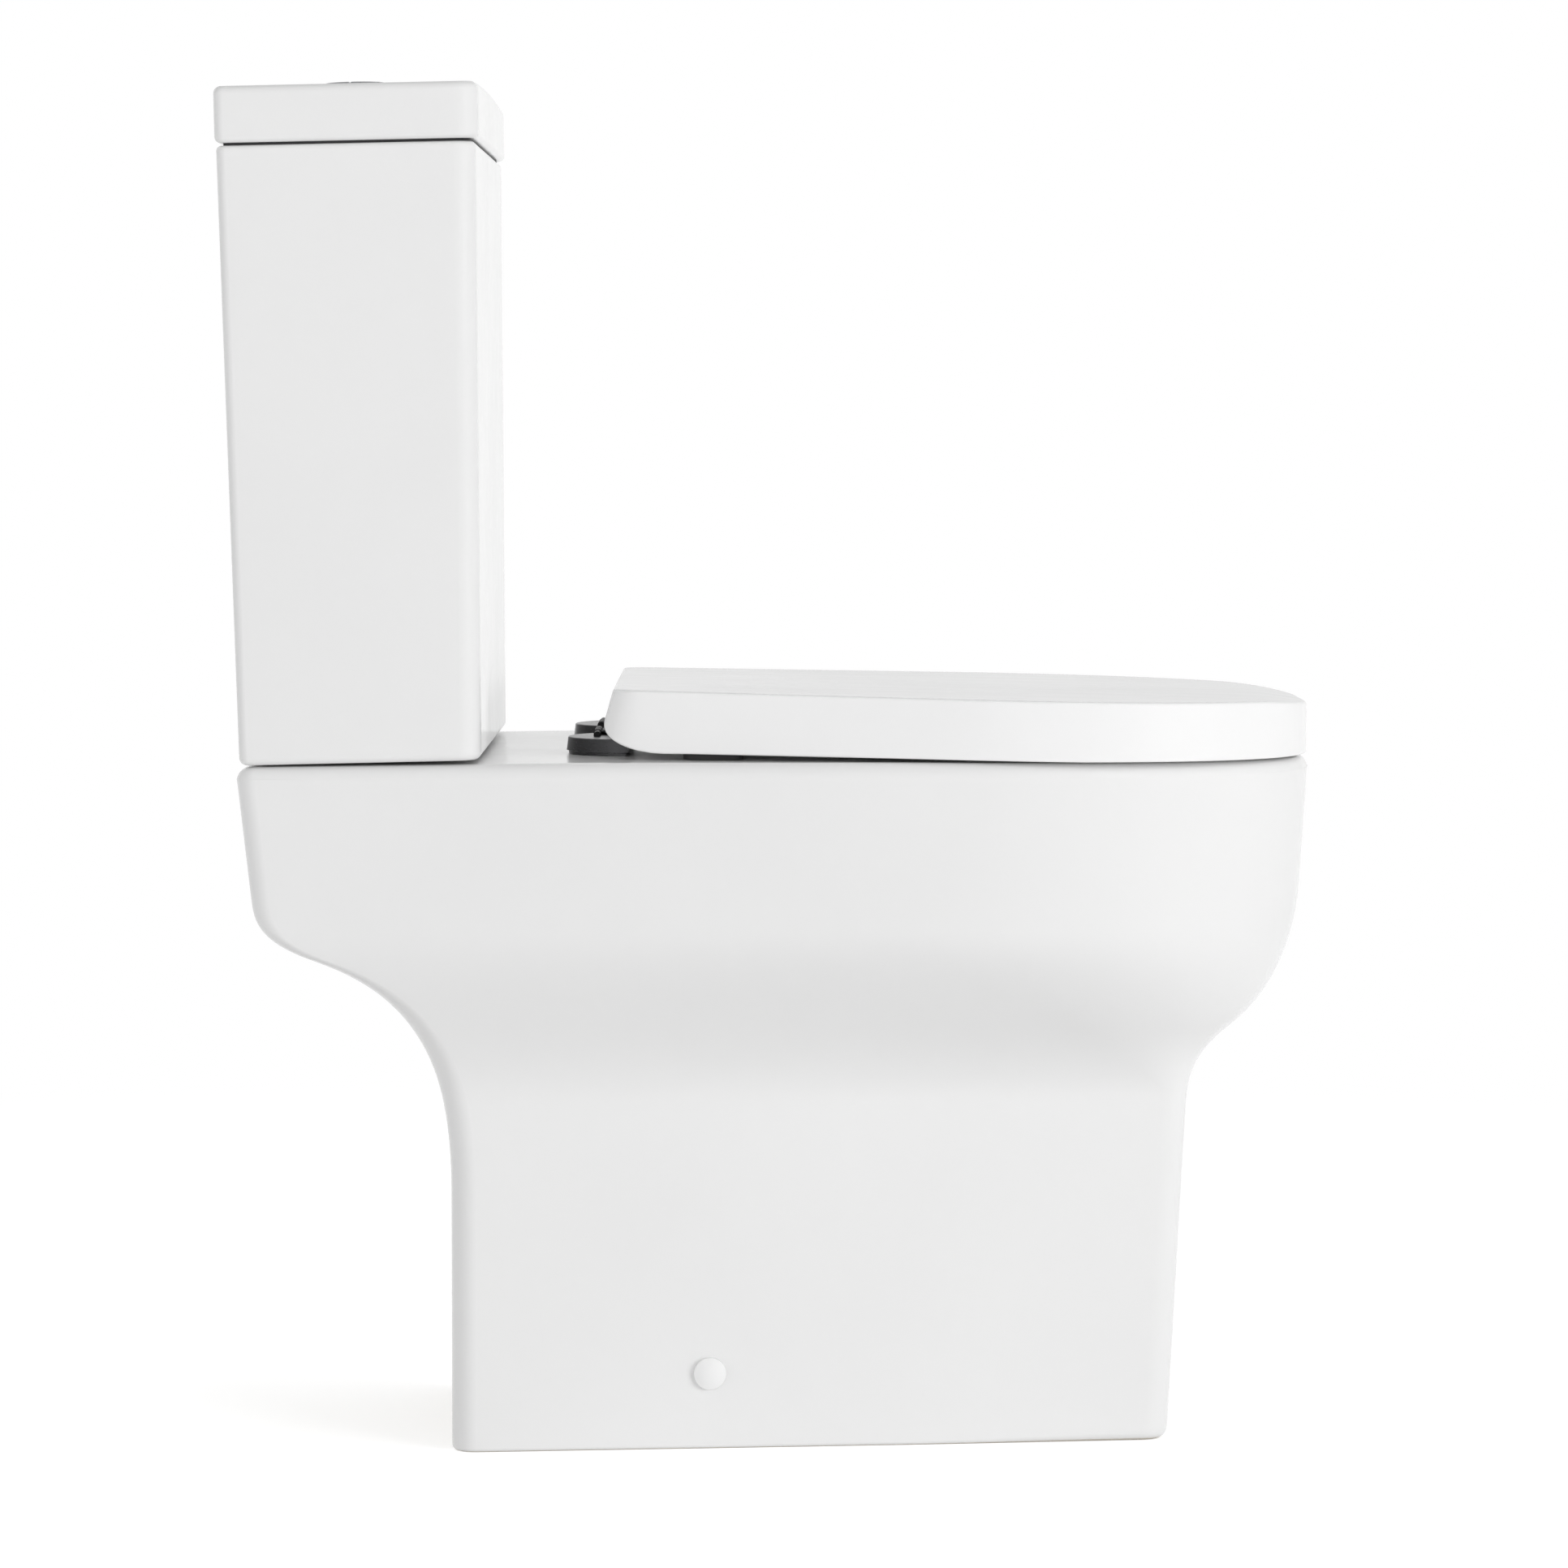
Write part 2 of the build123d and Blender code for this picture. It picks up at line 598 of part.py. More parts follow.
def coupling_bolts():
    """Two hexagon bolts, heads inside the tank, that clamp the tank to the pan's deck."""
    bolt = hexagon(COUPLING_HEAD_FLATS, bolt_seat, bolt_seat + COUPLING_HEAD_HEIGHT)
    return at_couplings(bolt + rod(COUPLING_DIAMETER, bolt_seat - COUPLING_LENGTH, bolt_seat))


def coupling_seal_washers():
    """Rubber washers that seal the bolt holes inside the tank."""
    bore = COUPLING_DIAMETER + 2 * BOLT_FIT
    return at_couplings(ring(COUPLING_SEAL_DIAMETER, bore, TANK_FLOOR, seal_top))


def coupling_metal_washers():
    """Flat washers under the bolt heads and above the wing nuts."""
    bore = COUPLING_DIAMETER + 2 * BOLT_FIT
    upper = ring(METAL_WASHER_DIAMETER, bore, seal_top, bolt_seat)
    return at_couplings(upper) + at_couplings(ring(METAL_WASHER_DIAMETER, bore, wing_seat, pad_bottom))


def coupling_pad_washers():
    """Rubber pads under the deck, flat to the deck above and square to the leaning bolt below."""
    bore = COUPLING_DIAMETER + 2 * BOLT_FIT
    pad_top = deck_below_tank + PAD_WASHER_THICKNESS
    pads = at_couplings(ring(COUPLING_SEAL_DIAMETER, bore, pad_bottom, pad_top))
    reach = PAN_WIDTH
    return pads - block((-reach, reach), (-reach, reach + pan_rear), (deck_underside, deck_underside + reach))


def wing_nut(bore, top):
    """A wing nut with its flat face up."""
    body = rod(WING_NUT_BODY, top - WING_NUT_HEIGHT, top)
    wing_top = top - WING_NUT_HEIGHT / 2
    half = WING_THICKNESS / 2
    body += block((-WING_SPAN / 2, WING_SPAN / 2), (-half, half), (wing_top - WING_HEIGHT, wing_top))
    return body - rod(bore, top - WING_NUT_HEIGHT - WING_HEIGHT, top + 1)


def coupling_wing_nuts():
    """Wing nuts on the lower ends of the coupling bolts."""
    return at_couplings(wing_nut(COUPLING_DIAMETER + 2 * BOLT_FIT, wing_seat))


AT_VALVE = CISTERN * Pos(0, tank_axis, 0)
gasket_top = TANK_FLOOR + VALVE_GASKET_THICKNESS
flange_top = gasket_top + VALVE_FLANGE_THICKNESS
valve_seat = flange_top + VALVE_SEAT_RISE
tower_top = flange_top + TOWER_HEIGHT
canister_disc_bottom = valve_seat + SEAL_THICKNESS
canister_top = tower_top - TOWER_CAP - CANISTER_HEADROOM


def flush_valve_base():
    """Threaded tail, flange and raised valve seat of the flush valve."""
    body = rod(VALVE_TAIL, -VALVE_TAIL_LENGTH, gasket_top)
    body += rod(VALVE_FLANGE, gasket_top, flange_top)
    body += rod(VALVE_BORE + 2 * TOWER_WALL, flange_top, valve_seat)
    return AT_VALVE * (body - rod(VALVE_BORE, -VALVE_TAIL_LENGTH - 1, valve_seat + 1))


def flush_valve_gasket():
    """Rubber gasket between the flush valve's flange and the tank floor."""
    return AT_VALVE * ring(VALVE_FLANGE, VALVE_TANK_HOLE, TANK_FLOOR, gasket_top)


def flush_valve_backnut():
    """Large hexagon nut that clamps the flush valve from below the tank."""
    nut = hexagon(VALVE_NUT_FLATS, -VALVE_NUT_HEIGHT, 0)
    return AT_VALVE * (nut - rod(VALVE_TAIL, -VALVE_TAIL_LENGTH, 1))


def doughnut_washer():
    """Thick rubber ring over the backnut, flat on the floor of the deck's recess."""
    nut_corners = VALVE_NUT_FLATS / cos(radians(30))
    body = rod(DOUGHNUT_OUTER, -INLET_RECESS_DEPTH - VALVE_NUT_HEIGHT, 0)
    body -= rod(nut_corners + 2 * DOUGHNUT_SKIRT_PLAY, -VALVE_NUT_HEIGHT, 1)
    body -= rod(VALVE_TAIL + 2 * DOUGHNUT_BORE_PLAY, -INLET_RECESS_DEPTH - VALVE_NUT_HEIGHT - 1, 1)
    reach = PAN_WIDTH
    return AT_VALVE * body - block((-reach, reach), (-reach, reach + pan_rear), (0, recess_floor))


def flush_valve_tower():
    """Slotted tower on the valve's flange, with a pierced cap under the push rods."""
    body = rod(TOWER_DIAMETER, flange_top, tower_top)
    body -= rod(TOWER_DIAMETER - 2 * TOWER_WALL, flange_top - 1, tower_top - TOWER_CAP)
    body -= rod(TOWER_CAP_HOLE, tower_top - TOWER_CAP - 1, tower_top + 1)
    half = TOWER_WINDOW_WIDTH / 2
    window_bottom = flange_top + VALVE_SEAT_RISE
    window = (window_bottom, window_bottom + TOWER_WINDOW_HEIGHT)
    body -= block((-TOWER_DIAMETER, TOWER_DIAMETER), (-half, half), window)
    body -= block((-half, half), (-TOWER_DIAMETER, TOWER_DIAMETER), window)
    return AT_VALVE * body


def flush_valve_canister():
    """The part that lifts: overflow tube with a disc that carries the seal."""
    body = rod(CANISTER_TUBE, canister_disc_bottom, canister_top)
    body += rod(CANISTER_DISC, canister_disc_bottom, canister_disc_bottom + CANISTER_DISC_THICKNESS)
    body -= rod(CANISTER_TUBE - 2 * CANISTER_TUBE_WALL, canister_disc_bottom - 1, canister_top + 1)
    return AT_VALVE * body


def flush_valve_seal():
    """Rubber ring under the canister's disc, on the valve seat."""
    return AT_VALVE * ring(SEAL_OUTER, SEAL_INNER, valve_seat, canister_disc_bottom)


AT_BUTTON = CISTERN * BUTTON_AXIS
barrel_bottom = button_seat - BARREL_LENGTH
barrel_bore = BARREL_DIAMETER - 2 * BARREL_WALL
web_top = barrel_bottom + BARREL_WEB
button_top = button_seat + BEZEL_THICKNESS + BUTTON_RISE
button_bottom = button_top - BUTTON_SKIRT
rod_end = tower_top + BUTTON_TRAVEL + ROD_END_GAP


def stem_place(side):
    """The axis of the stem under the front button (side -1) or the rear one (side 1)."""
    return Pos(0, side * STEM_OFFSET + BUTTON_SPLIT_OFFSET, 0)


def button_housing():
    """Chromed bezel on the lid with a threaded barrel and a web that guides the two stems."""
    body = rod(BARREL_DIAMETER, barrel_bottom, button_seat)
    body += rod(BEZEL_DIAMETER, button_seat, button_seat + BEZEL_THICKNESS)
    body -= rod(barrel_bore, web_top, button_top)
    for side in (-1, 1):
        body -= stem_place(side) * rod(STEM_DIAMETER + 2 * STEM_PLAY, barrel_bottom - 1, web_top + 1)
    return AT_BUTTON * body


def button_nut():
    """Ring nut that holds the button housing from under the lid."""
    nut = ring(BARREL_NUT_DIAMETER, BARREL_DIAMETER, lid_plate_bottom - BARREL_NUT_HEIGHT, lid_plate_bottom)
    return AT_BUTTON * nut


def flush_button(side):
    """One part of the split round button, domed on top, with a short boss for its rod."""
    diameter = barrel_bore - 2 * BUTTON_PLAY
    radius = ((diameter / 2) ** 2 + BUTTON_DOME**2) / (2 * BUTTON_DOME)
    body = rod(diameter, button_bottom, button_top) & (Pos(0, 0, button_top - radius) * Sphere(radius))
    near = BUTTON_SPLIT_OFFSET + side * BUTTON_SPLIT / 2
    far = side * diameter
    low, high = sorted((near, far))
    return AT_BUTTON * (body & block((-diameter, diameter), (low, high), (button_bottom, button_top)))


def push_rod(side):
    """Rod screwed into a button, down to just above the flush valve's cap."""
    return AT_BUTTON * stem_place(side) * rod(STEM_DIAMETER, rod_end, button_bottom)


def button_spring(side):
    """Return spring round a rod, between the housing's web and the button."""
    coil = ring(SPRING_OUTER, SPRING_OUTER - 2 * SPRING_WALL, web_top, button_bottom)
    return AT_BUTTON * stem_place(side) * coil


AT_FILL = CISTERN * Pos(fill_offset, tank_axis, 0)
fill_gasket_top = TANK_FLOOR + FILL_GASKET_THICKNESS
fill_flange_top = fill_gasket_top + FILL_FLANGE_THICKNESS
head_bottom = fill_flange_top + RISER_HEIGHT
head_top = head_bottom + HEAD_HEIGHT
lever_z = head_top + EAR_HEIGHT - EAR_WIDTH / 2
link_x = LEVER_PIVOT_OFFSET - LEVER_REACH
float_top = head_bottom - FLOAT_TOP_BELOW_HEAD
ear_inner = LEVER_WIDTH / 2 + LEVER_PLAY


def fill_valve_body():
    """Bottom-inlet fill valve: threaded tail, flange, riser and head with two ears for the lever."""
    body = rod(FILL_TAIL, -FILL_TAIL_LENGTH, 0)
    body += rod(FILL_SHANK, -FILL_NUT_HEIGHT, fill_gasket_top)
    body += rod(FILL_FLANGE, fill_gasket_top, fill_flange_top)
    body += rod(RISER_DIAMETER, fill_flange_top, head_bottom)
    body += rod(HEAD_DIAMETER, head_bottom, head_top)
    x = (LEVER_PIVOT_OFFSET - EAR_WIDTH / 2, LEVER_PIVOT_OFFSET + EAR_WIDTH / 2)
    for side in (-1, 1):
        y = sorted((side * ear_inner, side * (ear_inner + EAR_THICKNESS)))
        body += block(x, y, (head_top - HEAD_HEIGHT / 2, head_top + EAR_HEIGHT))
    body -= rod(FILL_BORE, -FILL_TAIL_LENGTH - 1, head_bottom)
    body -= Pos(LEVER_PIVOT_OFFSET, 0, lever_z) * Rot(90, 0, 0) * Cylinder(LEVER_PIN / 2, 4 * ear_inner)
    return AT_FILL * body


def fill_valve_gasket():
    """Rubber gasket under the fill valve's flange."""
    return AT_FILL * ring(FILL_FLANGE, FILL_TANK_HOLE, TANK_FLOOR, fill_gasket_top)


def fill_valve_backnut():
    """Nut that clamps the fill valve from below the tank."""
    nut = hexagon(FILL_NUT_FLATS, -FILL_NUT_HEIGHT, 0)
    return AT_FILL * (nut - rod(FILL_SHANK, -FILL_NUT_HEIGHT - 1, 1))


def fill_valve_float():
    """Float cup that slides on the riser, open below, with a foot for its link."""
    body = rod(FLOAT_DIAMETER, float_top - FLOAT_HEIGHT, float_top)
    sleeve = RISER_DIAMETER + 2 * FLOAT_PLAY
    wall = TOWER_WALL
    body -= ring(FLOAT_DIAMETER - 2 * wall, sleeve + 2 * wall, float_top - FLOAT_HEIGHT - 1, float_top - wall)
    return AT_FILL * (body - rod(sleeve, float_top - FLOAT_HEIGHT - 1, float_top + 1))


def float_link():
    """Rod from the float up to the lever's tip."""
    top = lever_z - LEVER_THICKNESS / 2 - SEAT_GAP
    return AT_FILL * Pos(link_x, 0, 0) * rod(LINK_DIAMETER, float_top, top)


def fill_valve_lever():
    """Lever between the head's ears, over the float's link."""
    half = LEVER_THICKNESS / 2
    end = LEVER_PIVOT_OFFSET + half
    x = (link_x - LINK_DIAMETER / 2, LEVER_PIVOT_OFFSET)
    y = (-LEVER_WIDTH / 2, LEVER_WIDTH / 2)
    body = block(x, y, (lever_z - half, lever_z + half))
    eye = Pos(LEVER_PIVOT_OFFSET, 0, lever_z) * Rot(90, 0, 0)
    body += eye * Cylinder(EAR_WIDTH / 2, LEVER_WIDTH)
    return AT_FILL * (body - eye * Cylinder(LEVER_PIN / 2 + PIN_PLAY, 2 * end))


def lever_pin():
    """Pin through the ears and the lever."""
    length = 2 * (ear_inner + EAR_THICKNESS)
    return AT_FILL * Pos(LEVER_PIVOT_OFFSET, 0, lever_z) * Rot(90, 0, 0) * Cylinder(LEVER_PIN / 2, length)


lid_bottom = RIM_HEIGHT + SEAT_LID_GAP
lid_back = pan_rear - SEAT_LID_SETBACK
seat_bottom = RIM_HEIGHT + SEAT_LIFT
seat_top = seat_bottom + SEAT_THICKNESS
lid_rear_half = PAN_WIDTH / 2 - SEAT_LID_REAR_MARGIN
lid_flank_half = PAN_WIDTH / 2 - SEAT_LID_FLANK_MARGIN
lug_inner = HINGE_SPACING / 2 - HINGE_POST / 2 - LUG_GAP - LUG_WIDTH


def seat_outline(z, inset, rear_inset):
    """The plan of the seat lid, drawn in by a wall or a clearance."""
    return plan(
        z,
        lid_back - rear_inset,
        pan_front + inset,
        lid_rear_half - inset,
        lid_flank_half - inset,
        NOSE_FLAT / 2,
        NOSE_LENGTH - inset,
        SEAT_LID_CORNER,
    )


def lid_cover(inset, drop):
    """The seat lid's solid under a top that slopes down to the front, lowered by a drop."""
    high = lid_bottom + SEAT_LID_REAR_HEIGHT
    body = extrude(seat_outline(lid_bottom, inset, inset), high - lid_bottom, dir=(0, 0, 1))
    length = lid_back - pan_front
    fall = SEAT_LID_REAR_HEIGHT - SEAT_LID_FRONT_HEIGHT
    slope = degrees(atan2(fall, length))
    above = block((-PAN_WIDTH, PAN_WIDTH), (-2 * length, length), (0, 2 * SEAT_LID_REAR_HEIGHT))
    return body - Pos(0, lid_back, high - drop) * Rot(slope, 0, 0) * above


def barrel(diameter, x):
    """A round bar on the hinge axis, between two distances from the middle."""
    place = Pos((x[0] + x[1]) / 2, hinge_y, hinge_z) * Rot(0, 90, 0)
    return place * Cylinder(diameter / 2, x[1] - x[0])


def with_lugs(body, arm, x):
    """A piece with a bored hinge lug and its arm on each side."""
    body += both_sides(barrel(HINGE_BARREL, x) + arm)
    return body - both_sides(barrel(HINGE_PIN + 2 * PIN_PLAY, (x[0] - LUG_GAP / 2, x[1] + LUG_GAP / 2)))


def seat_lid():
    """Wrap-over lid: a shell over the seat, cut away at the back, with two hinge lugs."""
    body = lid_cover(0, 0)
    top_edges = body.faces().sort_by(Axis.Z)[-1].edges()
    body = fillet(top_edges, SEAT_LID_ROUND)
    tail_centre = Pos(0, lid_back - SEAT_LID_TAIL_LENGTH, lid_bottom + SEAT_LID_TAIL_HEIGHT)
    oval = Plane.YZ * Ellipse(SEAT_LID_TAIL_LENGTH, SEAT_LID_TAIL_HEIGHT)
    reach = 2 * SEAT_LID_TAIL_LENGTH
    corner = block((-PAN_WIDTH, PAN_WIDTH), (0, reach), (-reach, 0))
    body -= tail_centre * (corner - extrude(oval, PAN_WIDTH, both=True))
    body -= lid_cover(SEAT_LID_WALL, SEAT_LID_PLATE)
    half_back = lid_rear_half - SEAT_LID_CORNER
    notch_top = lid_bottom + SEAT_LID_TAIL_HEIGHT
    body -= block((-half_back, half_back), (lid_back - reach, lid_back + 1), (lid_bottom - 1, notch_top))
    x = (lug_inner - LUG_GAP - LUG_WIDTH, lug_inner - LUG_GAP)
    web_top = lid_bottom + SEAT_LID_REAR_HEIGHT - SEAT_LID_PLATE
    half_arm = HINGE_BARREL / 4
    web = block(x, (lid_back - SEAT_LID_WALL, lid_back), (hinge_z, web_top))
    web += block(x, (lid_back - SEAT_LID_WALL, hinge_y), (hinge_z - half_arm, hinge_z + half_arm))
    return with_lugs(body, web, x)


def oval(half_width, half_length):
    """An oval of four curved quarters."""
    quarter = Bezier(
        (half_width, 0),
        (half_width, QUARTER_ROUND * half_length),
        (QUARTER_ROUND * half_width, half_length),
        (0, half_length),
    )
    right = [quarter, quarter.mirror(Plane.XZ)]
    return Face(Wire(right + [edge.mirror(Plane.YZ) for edge in right]))


def seat():
    """Seat ring under the lid, with a rounded opening and two hinge lugs."""
    outline = seat_outline(seat_bottom, SEAT_LID_WALL + SEAT_PLAY, SEAT_REAR_INSET)
    body = extrude(outline, SEAT_THICKNESS, dir=(0, 0, 1))
    hole_y = pan_front + SEAT_HOLE_FRONT_MARGIN + SEAT_HOLE_LENGTH / 2
    hole = extrude(oval(SEAT_HOLE_WIDTH / 2, SEAT_HOLE_LENGTH / 2), 2 * SEAT_THICKNESS, both=True)
    body -= Pos(0, hole_y, seat_bottom) * hole
    body = fillet(body.faces().sort_by(Axis.Z)[-1].edges(), SEAT_ROUND)
    x = (lug_inner, lug_inner + LUG_WIDTH)
    half_arm = HINGE_BARREL / 3
    arm_front = lid_back - SEAT_REAR_INSET - SEAT_ROUND
    arm = block(x, (arm_front, hinge_y), (hinge_z - half_arm, hinge_z + half_arm))
    return with_lugs(body, arm, x)


def seat_buffers():
    """Four rubber feet under the seat, on the rim."""
    pads = []
    for setback in (BUFFER_REAR_SETBACK, BUFFER_REAR_SETBACK + BUFFER_PITCH):
        foot = SlotOverall(BUFFER_LENGTH, BUFFER_WIDTH, rotation=90)
        place = Pos(lid_flank_half - BUFFER_INSET, lid_back - setback, RIM_HEIGHT + SEAT_GAP)
        pads.append(both_sides(place * extrude(foot, SEAT_LIFT - SEAT_GAP)))
    return pads[0] + pads[1]


def lid_buffers():
    """Four rubber studs under the lid, just clear of the seat."""
    studs = []
    for setback in (BUFFER_REAR_SETBACK, BUFFER_REAR_SETBACK + BUFFER_PITCH):
        place = Pos(lid_flank_half - LID_BUFFER_INSET, lid_back - setback, 0)
        stud = rod(LID_BUFFER_DIAMETER, seat_top + SEAT_GAP, lid_bottom + SEAT_LID_REAR_HEIGHT)
        studs.append(both_sides(place * stud))
    return (studs[0] + studs[1]) & lid_cover(SEAT_LID_WALL, SEAT_LID_PLATE)


AT_HINGE = Pos(HINGE_SPACING / 2, hinge_y, 0)
base_top = RIM_HEIGHT + HINGE_BASE_HEIGHT
cap_bottom = base_top + HINGE_JOINT
cap_top = cap_bottom + HINGE_CAP_HEIGHT


def hinge_bases():
    """Round metal plates on the deck, under the hinge caps."""
    return both_sides(AT_HINGE * ring(HINGE_POST, HINGE_BOLT + 2 * BOLT_FIT, RIM_HEIGHT, base_top))


def hinge_caps():
    """Round metal hinge heads that hold the pins."""
    body = fillet(rod(HINGE_POST, cap_bottom, cap_top).edges().group_by(Axis.Z)[-1], HINGE_CAP_ROUND)
    body -= Pos(-HINGE_POST / 2, 0, hinge_z) * Rot(0, 90, 0) * Cylinder(HINGE_PIN / 2, HINGE_POST)
    body -= rod(HINGE_BOLT, cap_bottom - 1, hinge_z - HINGE_PIN)
    return both_sides(AT_HINGE * body)


def hinge_pins():
    """Steel pins from the hinge heads inwards through the seat's and the lid's lugs."""
    inner_end = lug_inner - 2 * LUG_GAP - LUG_WIDTH
    length = HINGE_SPACING / 2 - inner_end
    pin = Pos(inner_end, hinge_y, hinge_z) * Rot(0, 90, 0) * Cylinder(HINGE_PIN / 2, length, align=UP)
    return both_sides(pin)


def hinge_bolts():
    """Studs from the hinge heads down through the deck."""
    top = hinge_z - HINGE_PIN
    return both_sides(AT_HINGE * rod(HINGE_BOLT, top - HINGE_BOLT_LENGTH, top))


def hinge_washers():
    """Rubber washers under the deck on the hinge studs."""
    bottom = deck_underside - HINGE_WASHER_THICKNESS
    return both_sides(AT_HINGE * ring(HINGE_WASHER, HINGE_BOLT + 2 * BOLT_FIT, bottom, deck_underside))


def hinge_nuts():
    """Wing nuts that hold the hinges from under the deck."""
    return both_sides(AT_HINGE * wing_nut(HINGE_BOLT + 2 * BOLT_FIT, deck_underside - HINGE_WASHER_THICKNESS))


AT_FLANK = flank_place(SIDE_FIX_SETBACK)
SCREW_AXIS = Pos(0, 0, SIDE_FIX_HEIGHT) * Rot(0, 90, 0)
bracket_face = -PAN_WALL - SEAT_GAP


def floor_brackets():
    """Angle blocks inside the foot that are screwed to the floor and hold the side screws."""
    half = BRACKET_WIDTH / 2
    body = block((bracket_face - BRACKET_THICKNESS, bracket_face), (-half, half), (0, BRACKET_HEIGHT))
    body += block((bracket_face - BRACKET_FOOT, bracket_face), (-half, half), (0, BRACKET_THICKNESS))
    body -= SCREW_AXIS * Cylinder(SIDE_SCREW / 2, 4 * BRACKET_FOOT)
    foot_middle = bracket_face - (BRACKET_FOOT + BRACKET_THICKNESS) / 2
    body -= Pos(foot_middle, 0, 0) * rod(FLOOR_SCREW_HOLE, -1, BRACKET_THICKNESS + 1)
    return both_sides(AT_FLANK * body)


def side_screws():
    """Screws through the foot's walls into the brackets."""
    body = rod(SIDE_SCREW, SEAT_GAP - SIDE_SCREW_LENGTH, SEAT_GAP)
    body += rod(SIDE_SCREW_HEAD, SEAT_GAP, SEAT_GAP + SIDE_SCREW_HEAD_HEIGHT)
    return both_sides(AT_FLANK * SCREW_AXIS * body)


def side_cover_caps():
    """White snap caps over the heads of the side screws."""
    body = rod(COVER_CAP_DIAMETER, SEAT_GAP, COVER_CAP_HEIGHT)
    body = fillet(body.edges().group_by(Axis.Z)[-1], COVER_CAP_ROUND)
    body -= rod(COVER_CAP_DIAMETER - 2 * COVER_CAP_WALL, 0, COVER_CAP_HEIGHT - COVER_CAP_WALL)
    return both_sides(AT_FLANK * SCREW_AXIS * body)


PIECES = {
    "pan": pan,
    "cistern_tank": cistern_tank,
    "cistern_lid": cistern_lid,
    "doughnut_washer": doughnut_washer,
    "coupling_bolts": coupling_bolts,
    "coupling_seal_washers": coupling_seal_washers,
    "coupling_metal_washers": coupling_metal_washers,
    "coupling_pad_washers": coupling_pad_washers,
    "coupling_wing_nuts": coupling_wing_nuts,
    "flush_valve_base": flush_valve_base,
    "flush_valve_gasket": flush_valve_gasket,
    "flush_valve_backnut": flush_valve_backnut,
    "flush_valve_tower": flush_valve_tower,
    "flush_valve_canister": flush_valve_canister,
    "flush_valve_seal": flush_valve_seal,
    "button_housing": button_housing,
    "button_nut": button_nut,
    "full_flush_button": lambda: flush_button(-1),
    "half_flush_button": lambda: flush_button(1),
    "full_push_rod": lambda: push_rod(-1),
    "half_push_rod": lambda: push_rod(1),
    "full_button_spring": lambda: button_spring(-1),
    "half_button_spring": lambda: button_spring(1),
    "fill_valve_body": fill_valve_body,
    "fill_valve_gasket": fill_valve_gasket,
    "fill_valve_backnut": fill_valve_backnut,
    "fill_valve_float": fill_valve_float,
    "float_link": float_link,
    "fill_valve_lever": fill_valve_lever,
    "lever_pin": lever_pin,
    "seat": seat,
    "seat_lid": seat_lid,
    "seat_buffers": seat_buffers,
    "lid_buffers": lid_buffers,
    "hinge_bases": hinge_bases,
    "hinge_caps": hinge_caps,
    "hinge_pins": hinge_pins,
    "hinge_bolts": hinge_bolts,
    "hinge_washers": hinge_washers,
    "hinge_nuts": hinge_nuts,
    "floor_brackets": floor_brackets,
    "side_screws": side_screws,
    "side_cover_caps": side_cover_caps,
}

os.makedirs("parts", exist_ok=True)
for name, make in PIECES.items():
    export_step(make(), f"parts/{name}.step")
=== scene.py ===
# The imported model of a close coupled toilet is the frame. All sizes are in metres, with the floor at z 0,
# the front of the bowl towards -Y and the wall behind the cistern towards +Y.
from math import cos, pi, radians, sin

import bmesh
import bpy
import numpy as np
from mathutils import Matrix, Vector


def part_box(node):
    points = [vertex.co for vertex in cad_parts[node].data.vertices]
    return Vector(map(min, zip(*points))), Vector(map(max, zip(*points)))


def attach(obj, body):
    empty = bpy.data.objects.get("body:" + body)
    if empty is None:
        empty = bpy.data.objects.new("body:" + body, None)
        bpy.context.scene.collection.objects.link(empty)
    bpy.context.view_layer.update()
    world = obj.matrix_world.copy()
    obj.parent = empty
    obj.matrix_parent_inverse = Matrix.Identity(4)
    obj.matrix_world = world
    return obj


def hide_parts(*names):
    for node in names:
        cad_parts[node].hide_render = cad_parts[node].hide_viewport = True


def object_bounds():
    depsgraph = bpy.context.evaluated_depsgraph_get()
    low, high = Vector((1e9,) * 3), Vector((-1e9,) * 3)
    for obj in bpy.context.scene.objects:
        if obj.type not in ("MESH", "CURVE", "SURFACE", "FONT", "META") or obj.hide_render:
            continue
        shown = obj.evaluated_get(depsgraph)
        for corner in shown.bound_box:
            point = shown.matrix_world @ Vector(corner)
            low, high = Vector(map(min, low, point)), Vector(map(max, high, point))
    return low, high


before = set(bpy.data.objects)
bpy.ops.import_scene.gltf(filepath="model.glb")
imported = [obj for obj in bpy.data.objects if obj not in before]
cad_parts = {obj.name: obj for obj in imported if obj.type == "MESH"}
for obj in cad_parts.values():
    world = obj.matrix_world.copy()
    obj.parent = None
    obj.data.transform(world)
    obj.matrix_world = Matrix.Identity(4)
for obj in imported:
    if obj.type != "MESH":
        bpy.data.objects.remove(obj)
cad_low, cad_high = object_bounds()


# The pan: one casting of vitreous china, glazed outside and in the bowl, bare inside the hollow foot.
# It stands on the floor, carries the cistern on its rear deck and the seat on its rim.
RIM_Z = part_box("pan")[1].z
PAN_FRONT = cad_low.y
PAN_LENGTH = 0.6195
PAN_REAR = PAN_FRONT + PAN_LENGTH
PAN_WIDTH = 0.356
PAN_WALL = 0.012
DECK_THICKNESS = 0.014
DECK_CORNER = 0.011
DECK_FALL, DECK_BREAK = 0.0025, 0.09
NOSE_DIP, DIP_START = 0.0022, -0.05
RIM_ROUND = 0.0092
NOSE_LENGTH = 0.214
NOSE_FLAT = 0.060
NOSE_BLUNTNESS = 0.64
FOOT_LENGTH = 0.4148
FOOT_REAR_WIDTH = 0.250
FOOT_FRONT_WIDTH = 0.176
FOOT_CORNER = 0.015
FOOT_EDGE, FOOT_FRONT_EDGE, EDGE_BLEND = 0.0030, 0.007, 0.16
FOOT_RAKE = 0.053
REAR_OVERHANG = 0.1180
